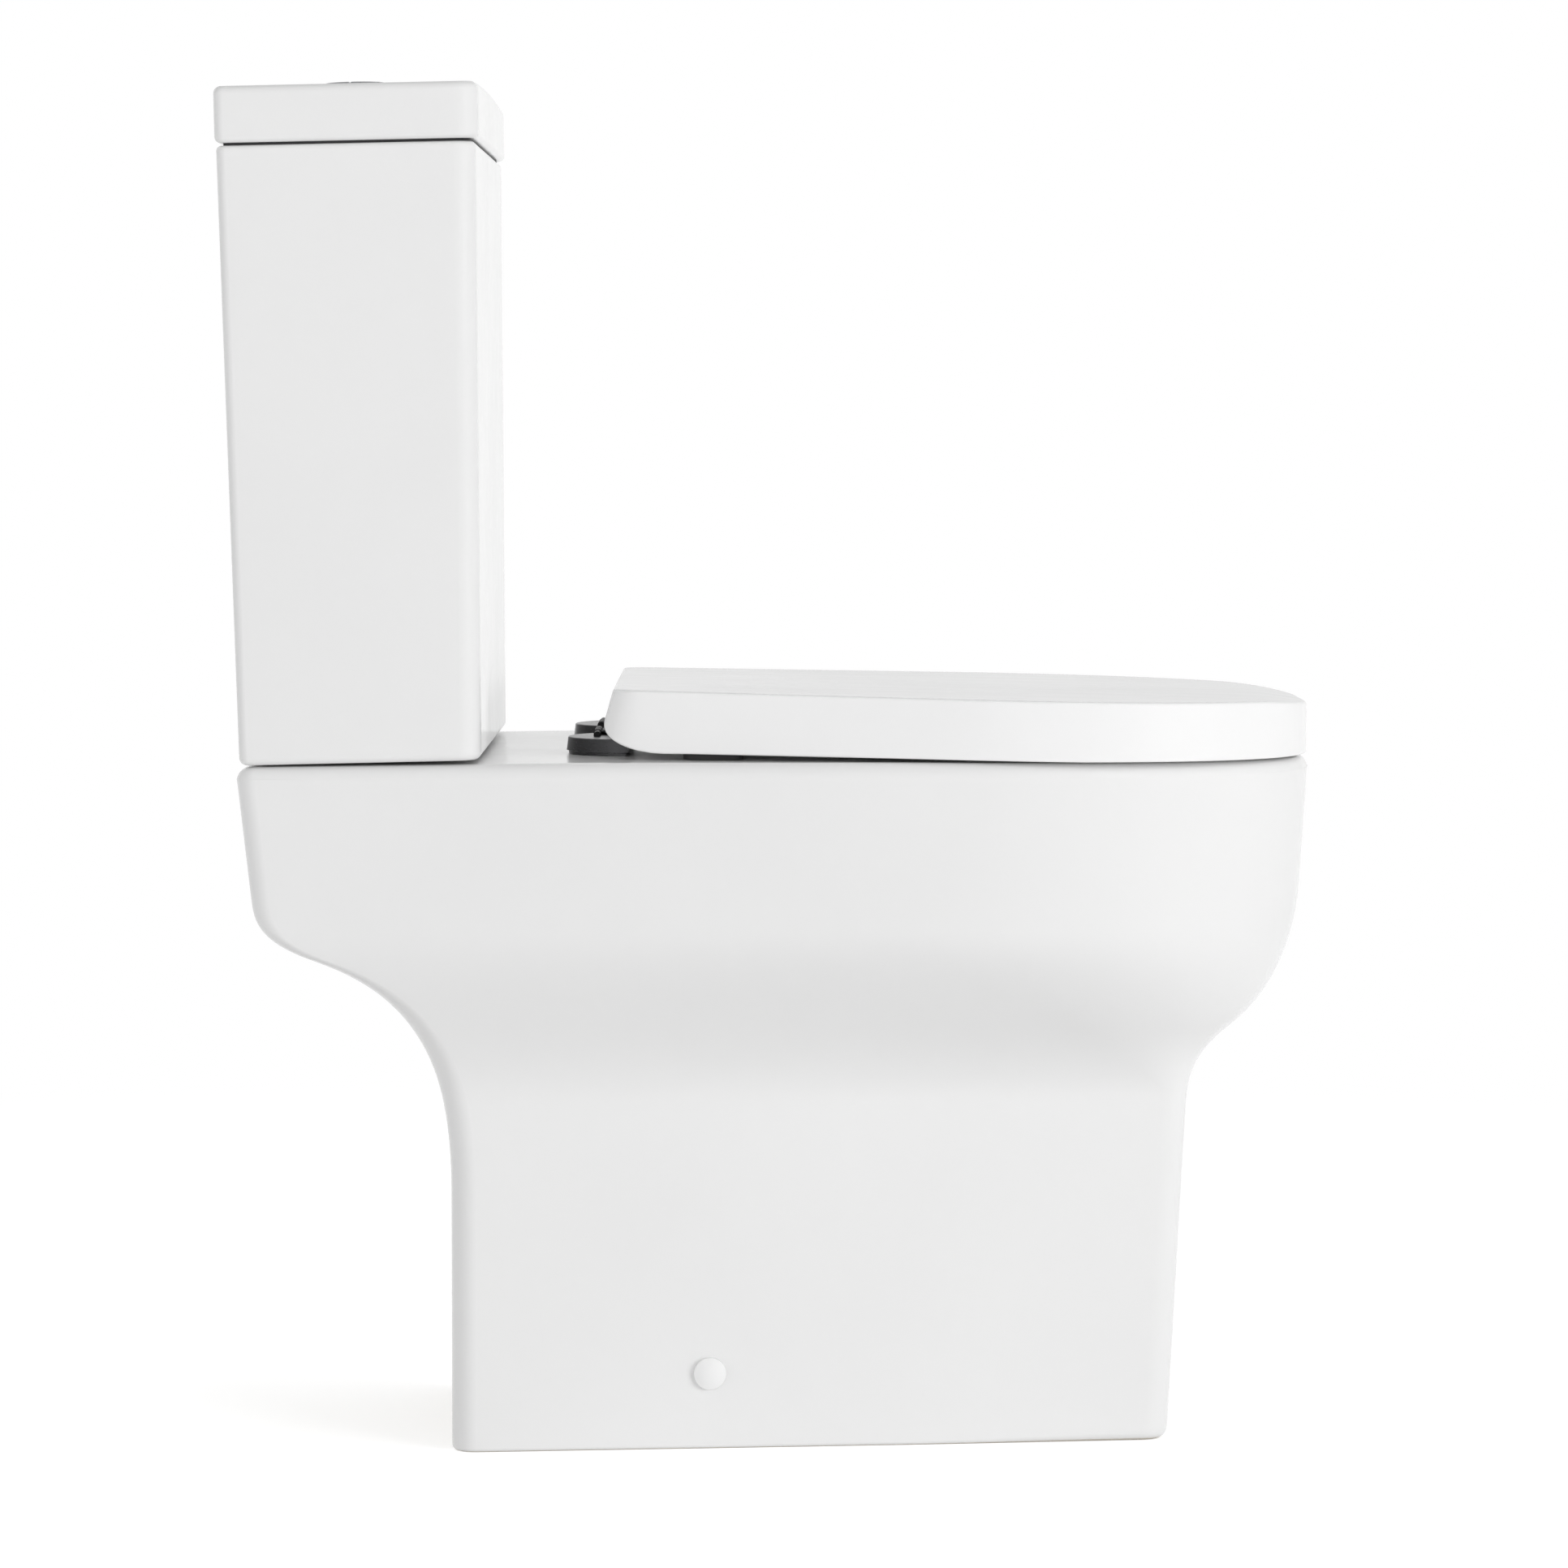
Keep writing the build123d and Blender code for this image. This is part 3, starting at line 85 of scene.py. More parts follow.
REAR_NECK, FRONT_NECK, SHOULDER = 0.150, 0.195, 0.322
REAR_DRAFT, FRONT_DRAFT = 0.11, 0.064
SIDE_NECK, SIDE_SHOULDER, SIDE_SWELL, SIDE_DRAFT = 0.200, 0.308, 0.95, 0.04
BACK_DOOR_HEIGHT = 0.318
FOOT_REAR = PAN_REAR - REAR_OVERHANG
FOOT_FRONT = FOOT_REAR - FOOT_LENGTH
NECK_FRONT = FOOT_FRONT - FOOT_RAKE * FRONT_NECK
GLAZE_SHADES = (0.80, 0.80, 0.80), (0.84, 0.84, 0.838)
CLAY_SHADES = (0.58, 0.54, 0.47), (0.70, 0.66, 0.59)

# The two overhangs seen from the side, from the foot's neck to the shoulder: (y, z) points of two cubic
# curves that share the fourth point.
REAR_LINE = (
    (FOOT_REAR, REAR_NECK), (FOOT_REAR, 0.250), (0.2264, 0.2738), (0.2635, 0.2875),
    (0.2959, 0.2995), (0.2953, 0.3134), (0.2967, SHOULDER),
)
FRONT_LINE = (
    (NECK_FRONT, FRONT_NECK), (NECK_FRONT - 0.0011, 0.216), (-0.2447, 0.2265), (-0.2663, 0.2425),
    (-0.2879, 0.2585), (-0.3040, 0.2870), (-0.3064, SHOULDER),
)

# A quarter circle as a cubic curve has handles of this share of its radius. The steps are those of half an
# outline: rear edge, corner, flank, nose and the flat at its tip.
QUARTER_ROUND = 0.5523
EDGE_STEPS, TURN_STEPS, FLANK_STEPS, NOSE_STEPS, FLAT_STEPS = 14, 9, 26, 34, 4


def cubic(a, b, c, d, t):
    """Cubic Bezier curve: (1-t)^3 a + 3 (1-t)^2 t b + 3 (1-t) t^2 c + t^3 d."""
    s = 1 - t
    return s**3 * a + 3 * s * s * t * b + 3 * s * t * t * c + t**3 * d


def ring_columns(count, *values):
    """Each value, be it one number or one for each ring, as a column with a row for each ring."""
    return [np.reshape(value, (-1, 1)) * np.ones((count, 1)) for value in values]


def plan_rings(z, rear, front, rear_half, flank_half, nose_half, nose_length, corner):
    """Level outlines, one for each entry of the arrays: a straight rear edge, a cubic corner, a straight
    flank and a cubic nose on the right, sampled at fixed shares, then the same mirrored on the left."""
    z, rear, front, rear_half, flank_half, nose_half, nose_length, corner = ring_columns(
        len(z), z, rear, front, rear_half, flank_half, nose_half, nose_length, corner
    )
    start_x, start_y = rear_half, rear - corner
    end_x, end_y = flank_half, front + nose_length
    reach = np.hypot(end_x - start_x, end_y - start_y)
    along_x, along_y = (end_x - start_x) / reach, (end_y - start_y) / reach
    handle = corner * QUARTER_ROUND
    push = NOSE_BLUNTNESS * nose_length
    edge, turn, flank, nose, flat = [
        np.linspace(0, 1, count + 1)[None, :-1]
        for count in (EDGE_STEPS, TURN_STEPS, FLANK_STEPS, NOSE_STEPS, FLAT_STEPS)
    ]
    tip = nose_half + NOSE_BLUNTNESS * (flank_half - nose_half)
    x = np.hstack([
        edge * (rear_half - corner),
        cubic(rear_half - corner, rear_half - corner + handle, start_x - along_x * handle, start_x, turn),
        start_x + flank * (end_x - start_x),
        cubic(end_x, end_x + along_x * push, tip, nose_half, nose),
        nose_half * (1 - flat),
        0 * z,
    ])
    y = np.hstack([
        rear + 0 * edge,
        cubic(rear, rear, start_y - along_y * handle, start_y, turn),
        start_y + flank * (end_y - start_y),
        cubic(end_y, end_y + along_y * push, front, front, nose),
        front + 0 * flat,
        front,
    ])
    x = np.hstack([x, -x[:, -2:0:-1]])
    y = np.hstack([y, y[:, -2:0:-1]])
    return np.stack([x, y, z + 0 * x], axis=-1)


def swell(z, neck, shoulder, power):
    """0 below the neck and 1 above the shoulder; between them t to a power, then 3 t^2 - 2 t^3."""
    t = np.clip((z - neck) / (shoulder - neck), 0, 1) ** power
    return t * t * (3 - 2 * t)


def side_line(z, points):
    """The distances of a side line at heights: its two cubic curves, read at the heights."""
    t = np.linspace(0, 1, 60)[:, None]
    points = np.array(points)
    line = np.concatenate([cubic(*points[:4], t), cubic(*points[3:], t)])
    return np.interp(z, line[:, 1], line[:, 0])


def pan_rings(z, inset):
    """The pan's outlines at an array of heights: the foot's outline swells into the deck's, and both are
    drawn in by the inset."""
    z = np.asarray(z, float)
    rear = side_line(z, REAR_LINE) + REAR_DRAFT * np.maximum(z - SHOULDER, 0)
    front = side_line(z, FRONT_LINE)
    front = front + FOOT_RAKE * np.maximum(FRONT_NECK - z, 0) - FRONT_DRAFT * np.maximum(z - SHOULDER, 0)
    side = swell(z, SIDE_NECK, SIDE_SHOULDER, SIDE_SWELL)
    shelf_half = PAN_WIDTH / 2 - SIDE_DRAFT * (RIM_Z - np.maximum(z, SIDE_SHOULDER))
    rear_half = FOOT_REAR_WIDTH / 2 + side * (shelf_half - FOOT_REAR_WIDTH / 2)
    flank_half = FOOT_FRONT_WIDTH / 2 + side * (shelf_half - FOOT_FRONT_WIDTH / 2)
    foot_flat = FOOT_FRONT_WIDTH / 2 - FOOT_CORNER
    tight = FOOT_CORNER / 3
    return plan_rings(
        z,
        rear - inset,
        front + inset,
        rear_half - inset,
        flank_half - inset,
        np.maximum(foot_flat + side * (NOSE_FLAT / 2 - foot_flat) - inset / 2, tight),
        np.maximum(FOOT_CORNER + side * (NOSE_LENGTH - FOOT_CORNER) - inset, tight),
        np.maximum(FOOT_CORNER + side * (DECK_CORNER - FOOT_CORNER) - inset, tight),
    )


def quarter(count):
    """Rise and inset of a quarter round of radius 1: sin t and 1 - cos t, from upright to level."""
    t = np.linspace(0, pi / 2, count)
    return np.sin(t), 1 - np.cos(t)


def weave(rings, loop=False, skip=None):
    """Quads between neighbouring rings, as corner numbers; each ring closes on itself, and with loop the
    last ring joins the first. skip marks quads to leave out."""
    rows, columns = rings.shape[:2]
    number = np.arange(rows * columns).reshape(rows, columns)
    upper = np.roll(number, -1, axis=0)
    quads = np.stack(
        [number, np.roll(number, -1, axis=1), np.roll(upper, -1, axis=1), upper], axis=-1
    )
    keep = np.ones((rows, columns), bool)
    keep[-1] = loop
    if skip is not None:
        keep &= ~skip
    return quads[keep]


def strip(outside, inside):
    """Quads between two runs of corner numbers."""
    return np.stack([outside[:-1], outside[1:], inside[1:], inside[:-1]], axis=-1)


def smooth_piece(name, shells, material, sharp=50, attribute=None):
    """One mesh object from (points, quads) shells: doubles merged, so that seams and poles close, faces
    turned outwards and shaded smooth up to the sharp angle."""
    points = np.concatenate([shell[0].reshape(-1, 3) for shell in shells])
    starts = np.cumsum([0] + [shell[0].size // 3 for shell in shells[:-1]])
    quads = np.concatenate([shell[1] + start for shell, start in zip(shells, starts)])
    mesh = bpy.data.meshes.new(name)
    mesh.from_pydata(points.tolist(), [], quads.tolist())
    if attribute is not None:
        layer = mesh.attributes.new(attribute[0], "FLOAT", "POINT")
        layer.data.foreach_set("value", attribute[1].astype(np.float32).ravel())
    work = bmesh.new()
    work.from_mesh(mesh)
    bmesh.ops.remove_doubles(work, verts=work.verts, dist=1e-6)
    bmesh.ops.dissolve_degenerate(work, edges=work.edges, dist=1e-7)
    bmesh.ops.recalc_face_normals(work, faces=work.faces)
    work.to_mesh(mesh)
    work.free()
    mesh.shade_smooth()
    mesh.set_sharp_from_angle(angle=radians(sharp))
    piece = bpy.data.objects.new(name, mesh)
    bpy.context.scene.collection.objects.link(piece)
    mesh.materials.append(material)
    flatten = piece.modifiers.new("keep flats flat", "WEIGHTED_NORMAL")
    flatten.keep_sharp = True
    return piece


class Finish:
    """A socket of a material's node tree. Arithmetic on it adds Math nodes."""

    def __init__(self, tree, socket=None):
        self.tree = tree
        self.socket = socket

    def make(self, kind, settings=None, sockets=None, output=0):
        """Adds a node, sets its settings first, then its sockets' values or links."""
        node = self.tree.nodes.new(kind)
        for key, value in (settings or {}).items():
            setattr(node, key, value)
        for key, value in (sockets or {}).items():
            if isinstance(value, Finish):
                self.tree.links.new(value.socket, node.inputs[key])
            else:
                node.inputs[key].default_value = value
        return Finish(self.tree, node.outputs[output])

    def math(self, operation, first, second):
        return self.make("ShaderNodeMath", {"operation": operation}, {0: first, 1: second})

    def __add__(self, other):
        return self.math("ADD", self, other)

    def __sub__(self, other):
        return self.math("SUBTRACT", self, other)

    def __rsub__(self, other):
        return self.math("SUBTRACT", other, self)

    def __mul__(self, other):
        return self.math("MULTIPLY", self, other)

    __radd__ = __add__
    __rmul__ = __mul__

    def noise(self, scale, detail=2.0, stretch=(1, 1, 1)):
        """Cloudy values round 0.5, with a number of lumps per metre, stretched along an axis."""
        place = self.make("ShaderNodeTexCoord", output="Object")
        place = self.make("ShaderNodeMapping", sockets={"Vector": place, "Scale": stretch})
        return self.make("ShaderNodeTexNoise", sockets={"Vector": place, "Scale": scale, "Detail": detail})

    def blend(self, share, first, second):
        """One colour into another by a share."""
        first, second = [
            colour if isinstance(colour, Finish) else (*colour, 1) for colour in (first, second)
        ]
        return self.make("ShaderNodeMix", {"data_type": "RGBA"}, {0: share, 6: first, 7: second}, output=2)

    def bump(self, height, depth):
        """A surface normal from a height between 0 and 1, as deep as given in metres."""
        return self.make("ShaderNodeBump", sockets={"Height": height, "Distance": depth, "Strength": 1.0})


def new_finish(name):
    """A material with an empty principled shader, and the Finish that builds its nodes."""
    material = bpy.data.materials.new(name)
    material.use_nodes = True
    return material, Finish(material.node_tree)


def coat(material, **sockets):
    """Gives the principled shader its values and links; names use _ for a space."""
    shader = material.node_tree.nodes["Principled BSDF"]
    for key, value in sockets.items():
        socket = shader.inputs[key.replace("_", " ")]
        if isinstance(value, Finish):
            material.node_tree.links.new(value.socket, socket)
        else:
            socket.default_value = value


def china_finish(name, bare):
    """White glaze over fired clay: faint clouds in the white, a soft ripple from the firing and, where the
    piece's own glaze value falls to 0, the bare buff body."""
    material, make = new_finish(name)
    clouds = make.noise(7, 3)
    white = make.blend(clouds, *GLAZE_SHADES)
    ripple = make.bump(make.noise(38, 1), 0.00009)
    smear = make.noise(16, 4)
    if bare:
        glaze = make.make("ShaderNodeAttribute", {"attribute_name": "glaze"}, output="Fac")
        grit = make.noise(900, 2)
        clay = make.blend(grit, *CLAY_SHADES)
        white = make.blend(glaze, clay, white)
        roughness = 0.78 - glaze * (0.66 - smear * 0.10)
    else:
        roughness = 0.10 + smear * 0.10
    coat(material, Base_Color=white, Roughness=roughness, Normal=ripple, Specular_IOR_Level=0.45)
    return material


# The bowl inside the rim, and the throat at its bottom that turns back towards the trap.
BOWL_WALL = 0.010
MOUTH_WIDTH, MOUTH_LENGTH, MOUTH_FRONT_MARGIN, MOUTH_ROUND = 0.256, 0.322, 0.046, 0.009
BOWL_NECK_SHARE, BOWL_NARROWING, BOWL_SLOPE = 0.12, 1.4, 1.6
THROAT_Z, THROAT_Y, THROAT_RADIUS, THROAT_BEND = 0.104, 0.0346, 0.036, 0.052
THROAT_TURN, THROAT_BACK_TURN, THROAT_TAPER = radians(80), radians(88), 0.9
mouth_front = PAN_FRONT + MOUTH_FRONT_MARGIN
mouth_rear = mouth_front + MOUTH_LENGTH
mouth_y = (mouth_front + mouth_rear) / 2


def bowl_rings(bearing, depth, wall):
    """Ovals of the bowl at shares of its depth: the width narrows with t^1.4 and the front runs back with
    t^1.6, where t starts below the straight neck under the rim; grown by a wall."""
    t = np.clip((depth - BOWL_NECK_SHARE) / (1 - BOWL_NECK_SHARE), 0, 1)
    half = MOUTH_WIDTH / 2 + (THROAT_RADIUS - MOUTH_WIDTH / 2) * t**BOWL_NARROWING
    front = mouth_front + (THROAT_Y - THROAT_RADIUS - mouth_front) * t**BOWL_SLOPE
    rear = mouth_rear + (THROAT_Y + THROAT_RADIUS - mouth_rear) * depth
    z = RIM_Z - (RIM_Z - THROAT_Z) * depth
    x = np.outer(half + wall, np.cos(bearing))
    y = np.outer((rear - front) / 2 + wall, np.sin(bearing)) + ((rear + front) / 2)[:, None]
    return np.stack([x, y, z[:, None] + 0 * x], axis=-1)


def throat_rings(bearing, turns, radius):
    """Rings that turn back and up from the bottom of the bowl: centres on an arc, each ring square to it."""
    y = THROAT_Y + THROAT_BEND * (1 - np.cos(turns))
    z = THROAT_Z - THROAT_BEND * np.sin(turns)
    across = np.outer(radius, np.sin(bearing))
    return np.stack([
        np.outer(radius, np.cos(bearing)),
        y[:, None] + across * np.cos(turns)[:, None],
        z[:, None] + across * np.sin(turns)[:, None],
    ], axis=-1)


def rim_fall(y):
    """How far the rim lies below its highest level: an even fall of the deck towards the wall, and a fall
    with the square of the distance towards the nose."""
    back = np.clip((y - DECK_BREAK) / (PAN_REAR - DECK_BREAK), 0, 1)
    nose = np.clip((DIP_START - y) / (DIP_START - PAN_FRONT), 0, 1)
    return DECK_FALL * back + NOSE_DIP * nose**2


# Heights of the wall's rings, close together on the swell, with one on the top edge of the door at the back.
SWELL_TOP = SHOULDER + 0.006
rise, inset = quarter(9)
wall_z = np.unique(np.concatenate([
    np.linspace(FOOT_FRONT_EDGE, REAR_NECK, 9),
    np.linspace(REAR_NECK, SWELL_TOP, 62),
    [BACK_DOOR_HEIGHT],
    np.linspace(SWELL_TOP, RIM_Z - RIM_ROUND, 8),
]))
outer_z = np.concatenate([FOOT_FRONT_EDGE * inset[:-1], wall_z])
inner_z = outer_z[outer_z < RIM_Z - DECK_THICKNESS]
rim = pan_rings(RIM_Z - RIM_ROUND + RIM_ROUND * rise[1:], RIM_ROUND * inset[1:])
toward = rim[-1, :, :2] - [0, mouth_y]
bearing = np.arctan2(toward[:, 1] / MOUTH_LENGTH, toward[:, 0] / MOUTH_WIDTH)
bowl_drop = RIM_Z - THROAT_Z
mouth = bowl_rings(bearing, MOUTH_ROUND * inset / bowl_drop, MOUTH_ROUND * (1 - rise))
deck = rim[-1] + np.linspace(0, 1, 12)[1:-1, None, None] * (mouth[0] - rim[-1])
bowl = bowl_rings(bearing, np.linspace(MOUTH_ROUND / bowl_drop, 1, 64)[1:], 0)
turns = np.linspace(0, THROAT_TURN, 16)[1:]
throat = throat_rings(bearing, turns, THROAT_RADIUS * np.append(np.linspace(1, THROAT_TAPER, 14), 0))
back_turns = np.linspace(THROAT_BACK_TURN, 0, 12)[:-1]
throat_back = throat_rings(bearing, back_turns, np.append(0, np.full(10, THROAT_RADIUS + BOWL_WALL)))
bowl_back = bowl_rings(bearing, np.linspace(1, DECK_THICKNESS / bowl_drop, 30), BOWL_WALL)
inner_wall = pan_rings(inner_z[::-1], PAN_WALL)
underside_edge = pan_rings([RIM_Z - DECK_THICKNESS], PAN_WALL)[0]
underside = bowl_back[-1] + np.linspace(0, 1, 8)[1:, None, None] * (underside_edge - bowl_back[-1])

# The foot's lower edge is rounder at the front than at the sides and the back.
hard_edge = pan_rings(FOOT_EDGE * inset[:-1], FOOT_EDGE * (1 - rise[:-1]))
soft_edge = pan_rings(FOOT_FRONT_EDGE * inset[:-1], FOOT_FRONT_EDGE * (1 - rise[:-1]))
softness = swell(-hard_edge[..., 1:2], -FOOT_FRONT - EDGE_BLEND, -FOOT_FRONT, 1)
foot_edge = hard_edge + softness * (soft_edge - hard_edge)
outer_wall = np.concatenate([foot_edge, pan_rings(wall_z, 0)])

rim[..., 2] -= rim_fall(rim[..., 1])
deck[..., 2] -= rim_fall(deck[..., 1])
stages = [throat_back, bowl_back, underside, inner_wall, outer_wall, rim, deck, mouth, bowl, throat]
body = np.concatenate(stages)
rows, columns = body.shape[:2]
number = np.arange(rows * columns).reshape(rows, columns)
outer_start = sum(len(stage) for stage in stages[:4])

# The foot is open behind: the rear edge's quads are left out up to the door's top, and the wall's two faces
# are joined round the opening.
door_levels = int(np.argmin(np.abs(outer_z - BACK_DOOR_HEIGHT)))
skip = np.zeros((rows, columns), bool)
skip[outer_start - 1 - door_levels:outer_start + door_levels, :EDGE_STEPS] = True
skip[outer_start - 1 - door_levels:outer_start + door_levels, -EDGE_STEPS:] = True
outer_rows = np.arange(outer_start, outer_start + door_levels + 1)
inner_rows = np.arange(outer_start - 1, outer_start - 2 - door_levels, -1)
door_sides = [
    strip(number[outer_rows, column], number[inner_rows, column])
    for column in (EDGE_STEPS, columns - EDGE_STEPS)
]
door_columns = np.arange(-EDGE_STEPS, EDGE_STEPS + 1) % columns
door_top = strip(number[outer_rows[-1], door_columns], number[inner_rows[-1], door_columns])
body_quads = np.concatenate([weave(body, skip=skip), *door_sides, door_top])

# The glaze ends just above the floor: the lowest rings of the outer wall are bare, as is the foot inside.
BARE_RINGS = 4
body_glaze = np.zeros((rows, columns))
body_glaze[outer_start + BARE_RINGS:] = 1

# The trap behind the bowl, over its weir and back to a plain spigot for the waste pipe.
TRAP_BORE, TRAP_WALL, OUTLET_Z, OUTLET_INSET = 0.038, 0.009, 0.180, 0.006
SPIGOT_RADIUS, SPIGOT_LENGTH, SPIGOT_EASE, SPIGOT_DEPTH = 0.051, 0.036, 0.002, 0.075
outlet_end = FOOT_REAR - OUTLET_INSET
trap_points = np.array([
    [THROAT_Y + 0.010, 0.085],
    [THROAT_Y + 0.055, 0.262],
    [outlet_end - 0.080, OUTLET_Z],
    [outlet_end - SPIGOT_LENGTH, OUTLET_Z],
])


def tube_rings(path, radius, around):
    """A tube in the middle plane: rings of a radius about each path point, square to the path there."""
    tangent = np.gradient(path, axis=0)
    tangent /= np.hypot(tangent[:, 0], tangent[:, 1])[:, None]
    radius = np.reshape(radius, (-1, 1))
    across = radius * np.sin(around)
    return np.stack([
        radius * np.cos(around),
        path[:, :1] - across * tangent[:, 1:],
        path[:, 1:] + across * tangent[:, :1],
    ], axis=-1)


def turned(radius, height, around):
    """A turned piece on the Z axis: a profile of radius and height swung round it."""
    return np.stack([
        np.outer(radius, np.cos(around)),
        np.outer(radius, np.sin(around)),
        np.repeat(np.asarray(height, float)[:, None], len(around), axis=1),
    ], axis=-1)


trap_path = cubic(*trap_points, np.linspace(0, 1, 40)[:, None])
spigot_y = outlet_end - np.array([
    SPIGOT_LENGTH, SPIGOT_LENGTH, SPIGOT_EASE, 0, 0, SPIGOT_EASE, SPIGOT_DEPTH, SPIGOT_DEPTH
])
spigot_r = np.array([
    TRAP_BORE + TRAP_WALL, SPIGOT_RADIUS, SPIGOT_RADIUS, SPIGOT_RADIUS - SPIGOT_EASE,
    TRAP_BORE + SPIGOT_EASE, TRAP_BORE, TRAP_BORE, 0,
])
around = np.linspace(0, 2 * pi, 49)[:-1]
trap_tube = tube_rings(trap_path, np.append(0, np.full(39, TRAP_BORE + TRAP_WALL)), around)
spigot = turned(spigot_r, spigot_y, around)[..., [0, 2, 1]] + [0, 0, OUTLET_Z]
trap = np.concatenate([trap_tube, spigot])


def to_pole(ring, shares, middle):
    """Copies of a ring drawn in to a point by shares: 1 is the ring, 0 the point."""
    return middle + shares[:, None, None] * (ring - middle)


def capped(rings, low, high):
    """Rings closed at both ends by a point."""
    pole = np.zeros(1)
    return np.concatenate([to_pole(rings[0], pole, low), rings, to_pole(rings[-1], pole, high)])


def rounded_rings(z, half, front, rear, corner, rear_corner=None):
    """Rounded rectangles, one for each entry of the arrays: quarter circles joined by straight edges; the
    two at the rear may have a radius of their own."""
    turn, run = np.linspace(0, pi / 2, 9), np.linspace(0, 1, 14)[1:-1]
    start = np.arange(4)[:, None] * pi / 2
    angle = np.hstack([start + turn, start + pi / 2 + 0 * run]).ravel()
    right, back = [
        np.hstack([sign + 0 * turn, sign + (np.roll(sign, -1, axis=0) - sign) * run]).ravel()
        for sign in (np.array([[1], [-1], [-1], [1]]), np.array([[1], [1], [-1], [-1]]))
    ]
    rear_corner = corner if rear_corner is None else rear_corner
    z, half, front, rear, corner, rear_corner = ring_columns(
        len(z), z, half, front, rear, corner, rear_corner
    )
    corner = corner + (rear_corner - corner) * (1 + back) / 2
    x = right * (half - corner) + corner * np.cos(angle)
    y = (rear + front) / 2 + back * ((rear - front) / 2 - corner) + corner * np.sin(angle)
    return np.stack([x, y, z + 0 * x], axis=-1)


def rounded_block(half, front, rear, bottom, top, edge):
    """A closed block with every edge rounded: rings up a quarter round, the side and another quarter round,
    with upright corners a fifth rounder than the edges."""
    z = np.concatenate([[bottom], bottom + edge * inset, top - edge + edge * rise])
    draw = edge * np.concatenate([[1], 1 - rise, inset])
    rings = rounded_rings(z, half - draw, front + draw, rear - draw, 1.2 * edge)
    middle = (front + rear) / 2
    return capped(rings, np.array([0, middle, bottom]), np.array([0, middle, top]))


# The flush way under the deck: a box from the cistern's outlet to the back of the bowl, with its round boss.
DUCT_HALF, DUCT_LEAD, DUCT_TRAIL, DUCT_EDGE = 0.042, 0.005, 0.045, 0.006
DUCT_BOTTOM, BOSS_BOTTOM, DUCT_TOP = 0.332, 0.374, 0.393
BOSS_RADIUS, BOSS_EASE = 0.060, 0.002
valve_low, valve_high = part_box("flush_valve_base")
inlet_y = (valve_low.y + valve_high.y) / 2
duct = rounded_block(
    DUCT_HALF, mouth_rear + DUCT_LEAD, inlet_y + DUCT_TRAIL, DUCT_BOTTOM, DUCT_TOP, DUCT_EDGE
)
boss = turned(
    [0, BOSS_RADIUS - BOSS_EASE, BOSS_RADIUS, BOSS_RADIUS, 0],
    [BOSS_BOTTOM, BOSS_BOTTOM, BOSS_BOTTOM + BOSS_EASE, DUCT_TOP, DUCT_TOP],
    around,
)
boss = boss + [0, inlet_y, 0]
china = china_finish("glazed_china", bare=True)
pan = smooth_piece(
    "pan_china",
    [(body, body_quads), (trap, weave(trap)), (duct, weave(duct)), (boss, weave(boss))],
    china,
    attribute=("glaze", np.append(body_glaze, np.zeros((trap.size + duct.size + boss.size) // 3))),
)
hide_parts("pan")
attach(pan, "pan")


# The coupling set: two zinc-plated bolts with rubber and metal washers, drawn up by brass wing nuts under
# the deck, and a thick rubber ring that seals the flush way between tank and pan.


def metal_finish(name, dark, bright, rough, lines):
    """Worked metal: cloudy tone between two colours, fine lines along one axis in the tone and the gloss."""
    material, make = new_finish(name)
    cloud = make.noise(30, 3)
    grain = make.noise(260, 2, lines)
    coat(
        material,
        Base_Color=make.blend(cloud * 0.6 + grain * 0.4, dark, bright),
        Metallic=1.0,
        Roughness=rough + grain * 0.12 + cloud * 0.06,
        Normal=make.bump(grain, 0.00002),
    )
    return material


def moulded_finish(name, dark, light, rough, grain_depth=0.00003):
    """Moulded plastic or rubber: slight clouds in the colour, fine grain and patchy gloss."""
    material, make = new_finish(name)
    cloud = make.noise(24, 3)
    grain = make.noise(1400, 1)
    coat(
        material,
        Base_Color=make.blend(cloud, dark, light),
        Roughness=rough + cloud * 0.14,
        Normal=make.bump(grain, grain_depth),
        Specular_IOR_Level=0.4,
    )
    return material


def refinish(material, *nodes):
    """Gives CAD nodes that keep their shape a finish in place of their plain one."""
    for node in nodes:
        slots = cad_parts[node].data.materials
        slots.clear()
        slots.append(material)


zinc = metal_finish("zinc_plated_steel", (0.50, 0.51, 0.53), (0.66, 0.66, 0.66), 0.24, (1, 1, 0.05))
brass = metal_finish("brass", (0.50, 0.35, 0.13), (0.70, 0.52, 0.22), 0.28, (1, 1, 1))
rubber = moulded_finish("black_rubber", (0.012, 0.012, 0.013), (0.030, 0.030, 0.031), 0.55, 0.00006)
refinish(zinc, "coupling_bolts", "coupling_metal_washers")
refinish(brass, "coupling_wing_nuts")
refinish(rubber, "doughnut_washer", "coupling_seal_washers", "coupling_pad_washers")


# The cistern tank: a slip-cast china box, open at the top and a little wider there than at its base.
# It stands on the deck, leaning back a little, and two bolts through its floor clamp it down.
LEAN = radians(1.25)
TANK_REST, TANK_SETBACK = 0.0005, 0.0027
TANK_WIDTH, TANK_DEPTH, TANK_HEIGHT, TANK_WALL, TANK_FLOOR = 0.354, 0.136, 0.345, 0.010, 0.012
TANK_CORNER, TANK_REAR_CORNER = 0.012, 0.0055
TANK_BASE_ROUND, TANK_TOP_ROUND, TANK_SINK, WELL_ROUND = 0.0045, 0.003, 0.002, 0.008
SIDE_FLARE, FRONT_FLARE, REAR_FLARE = 0.004, 0.0055, 0.0032


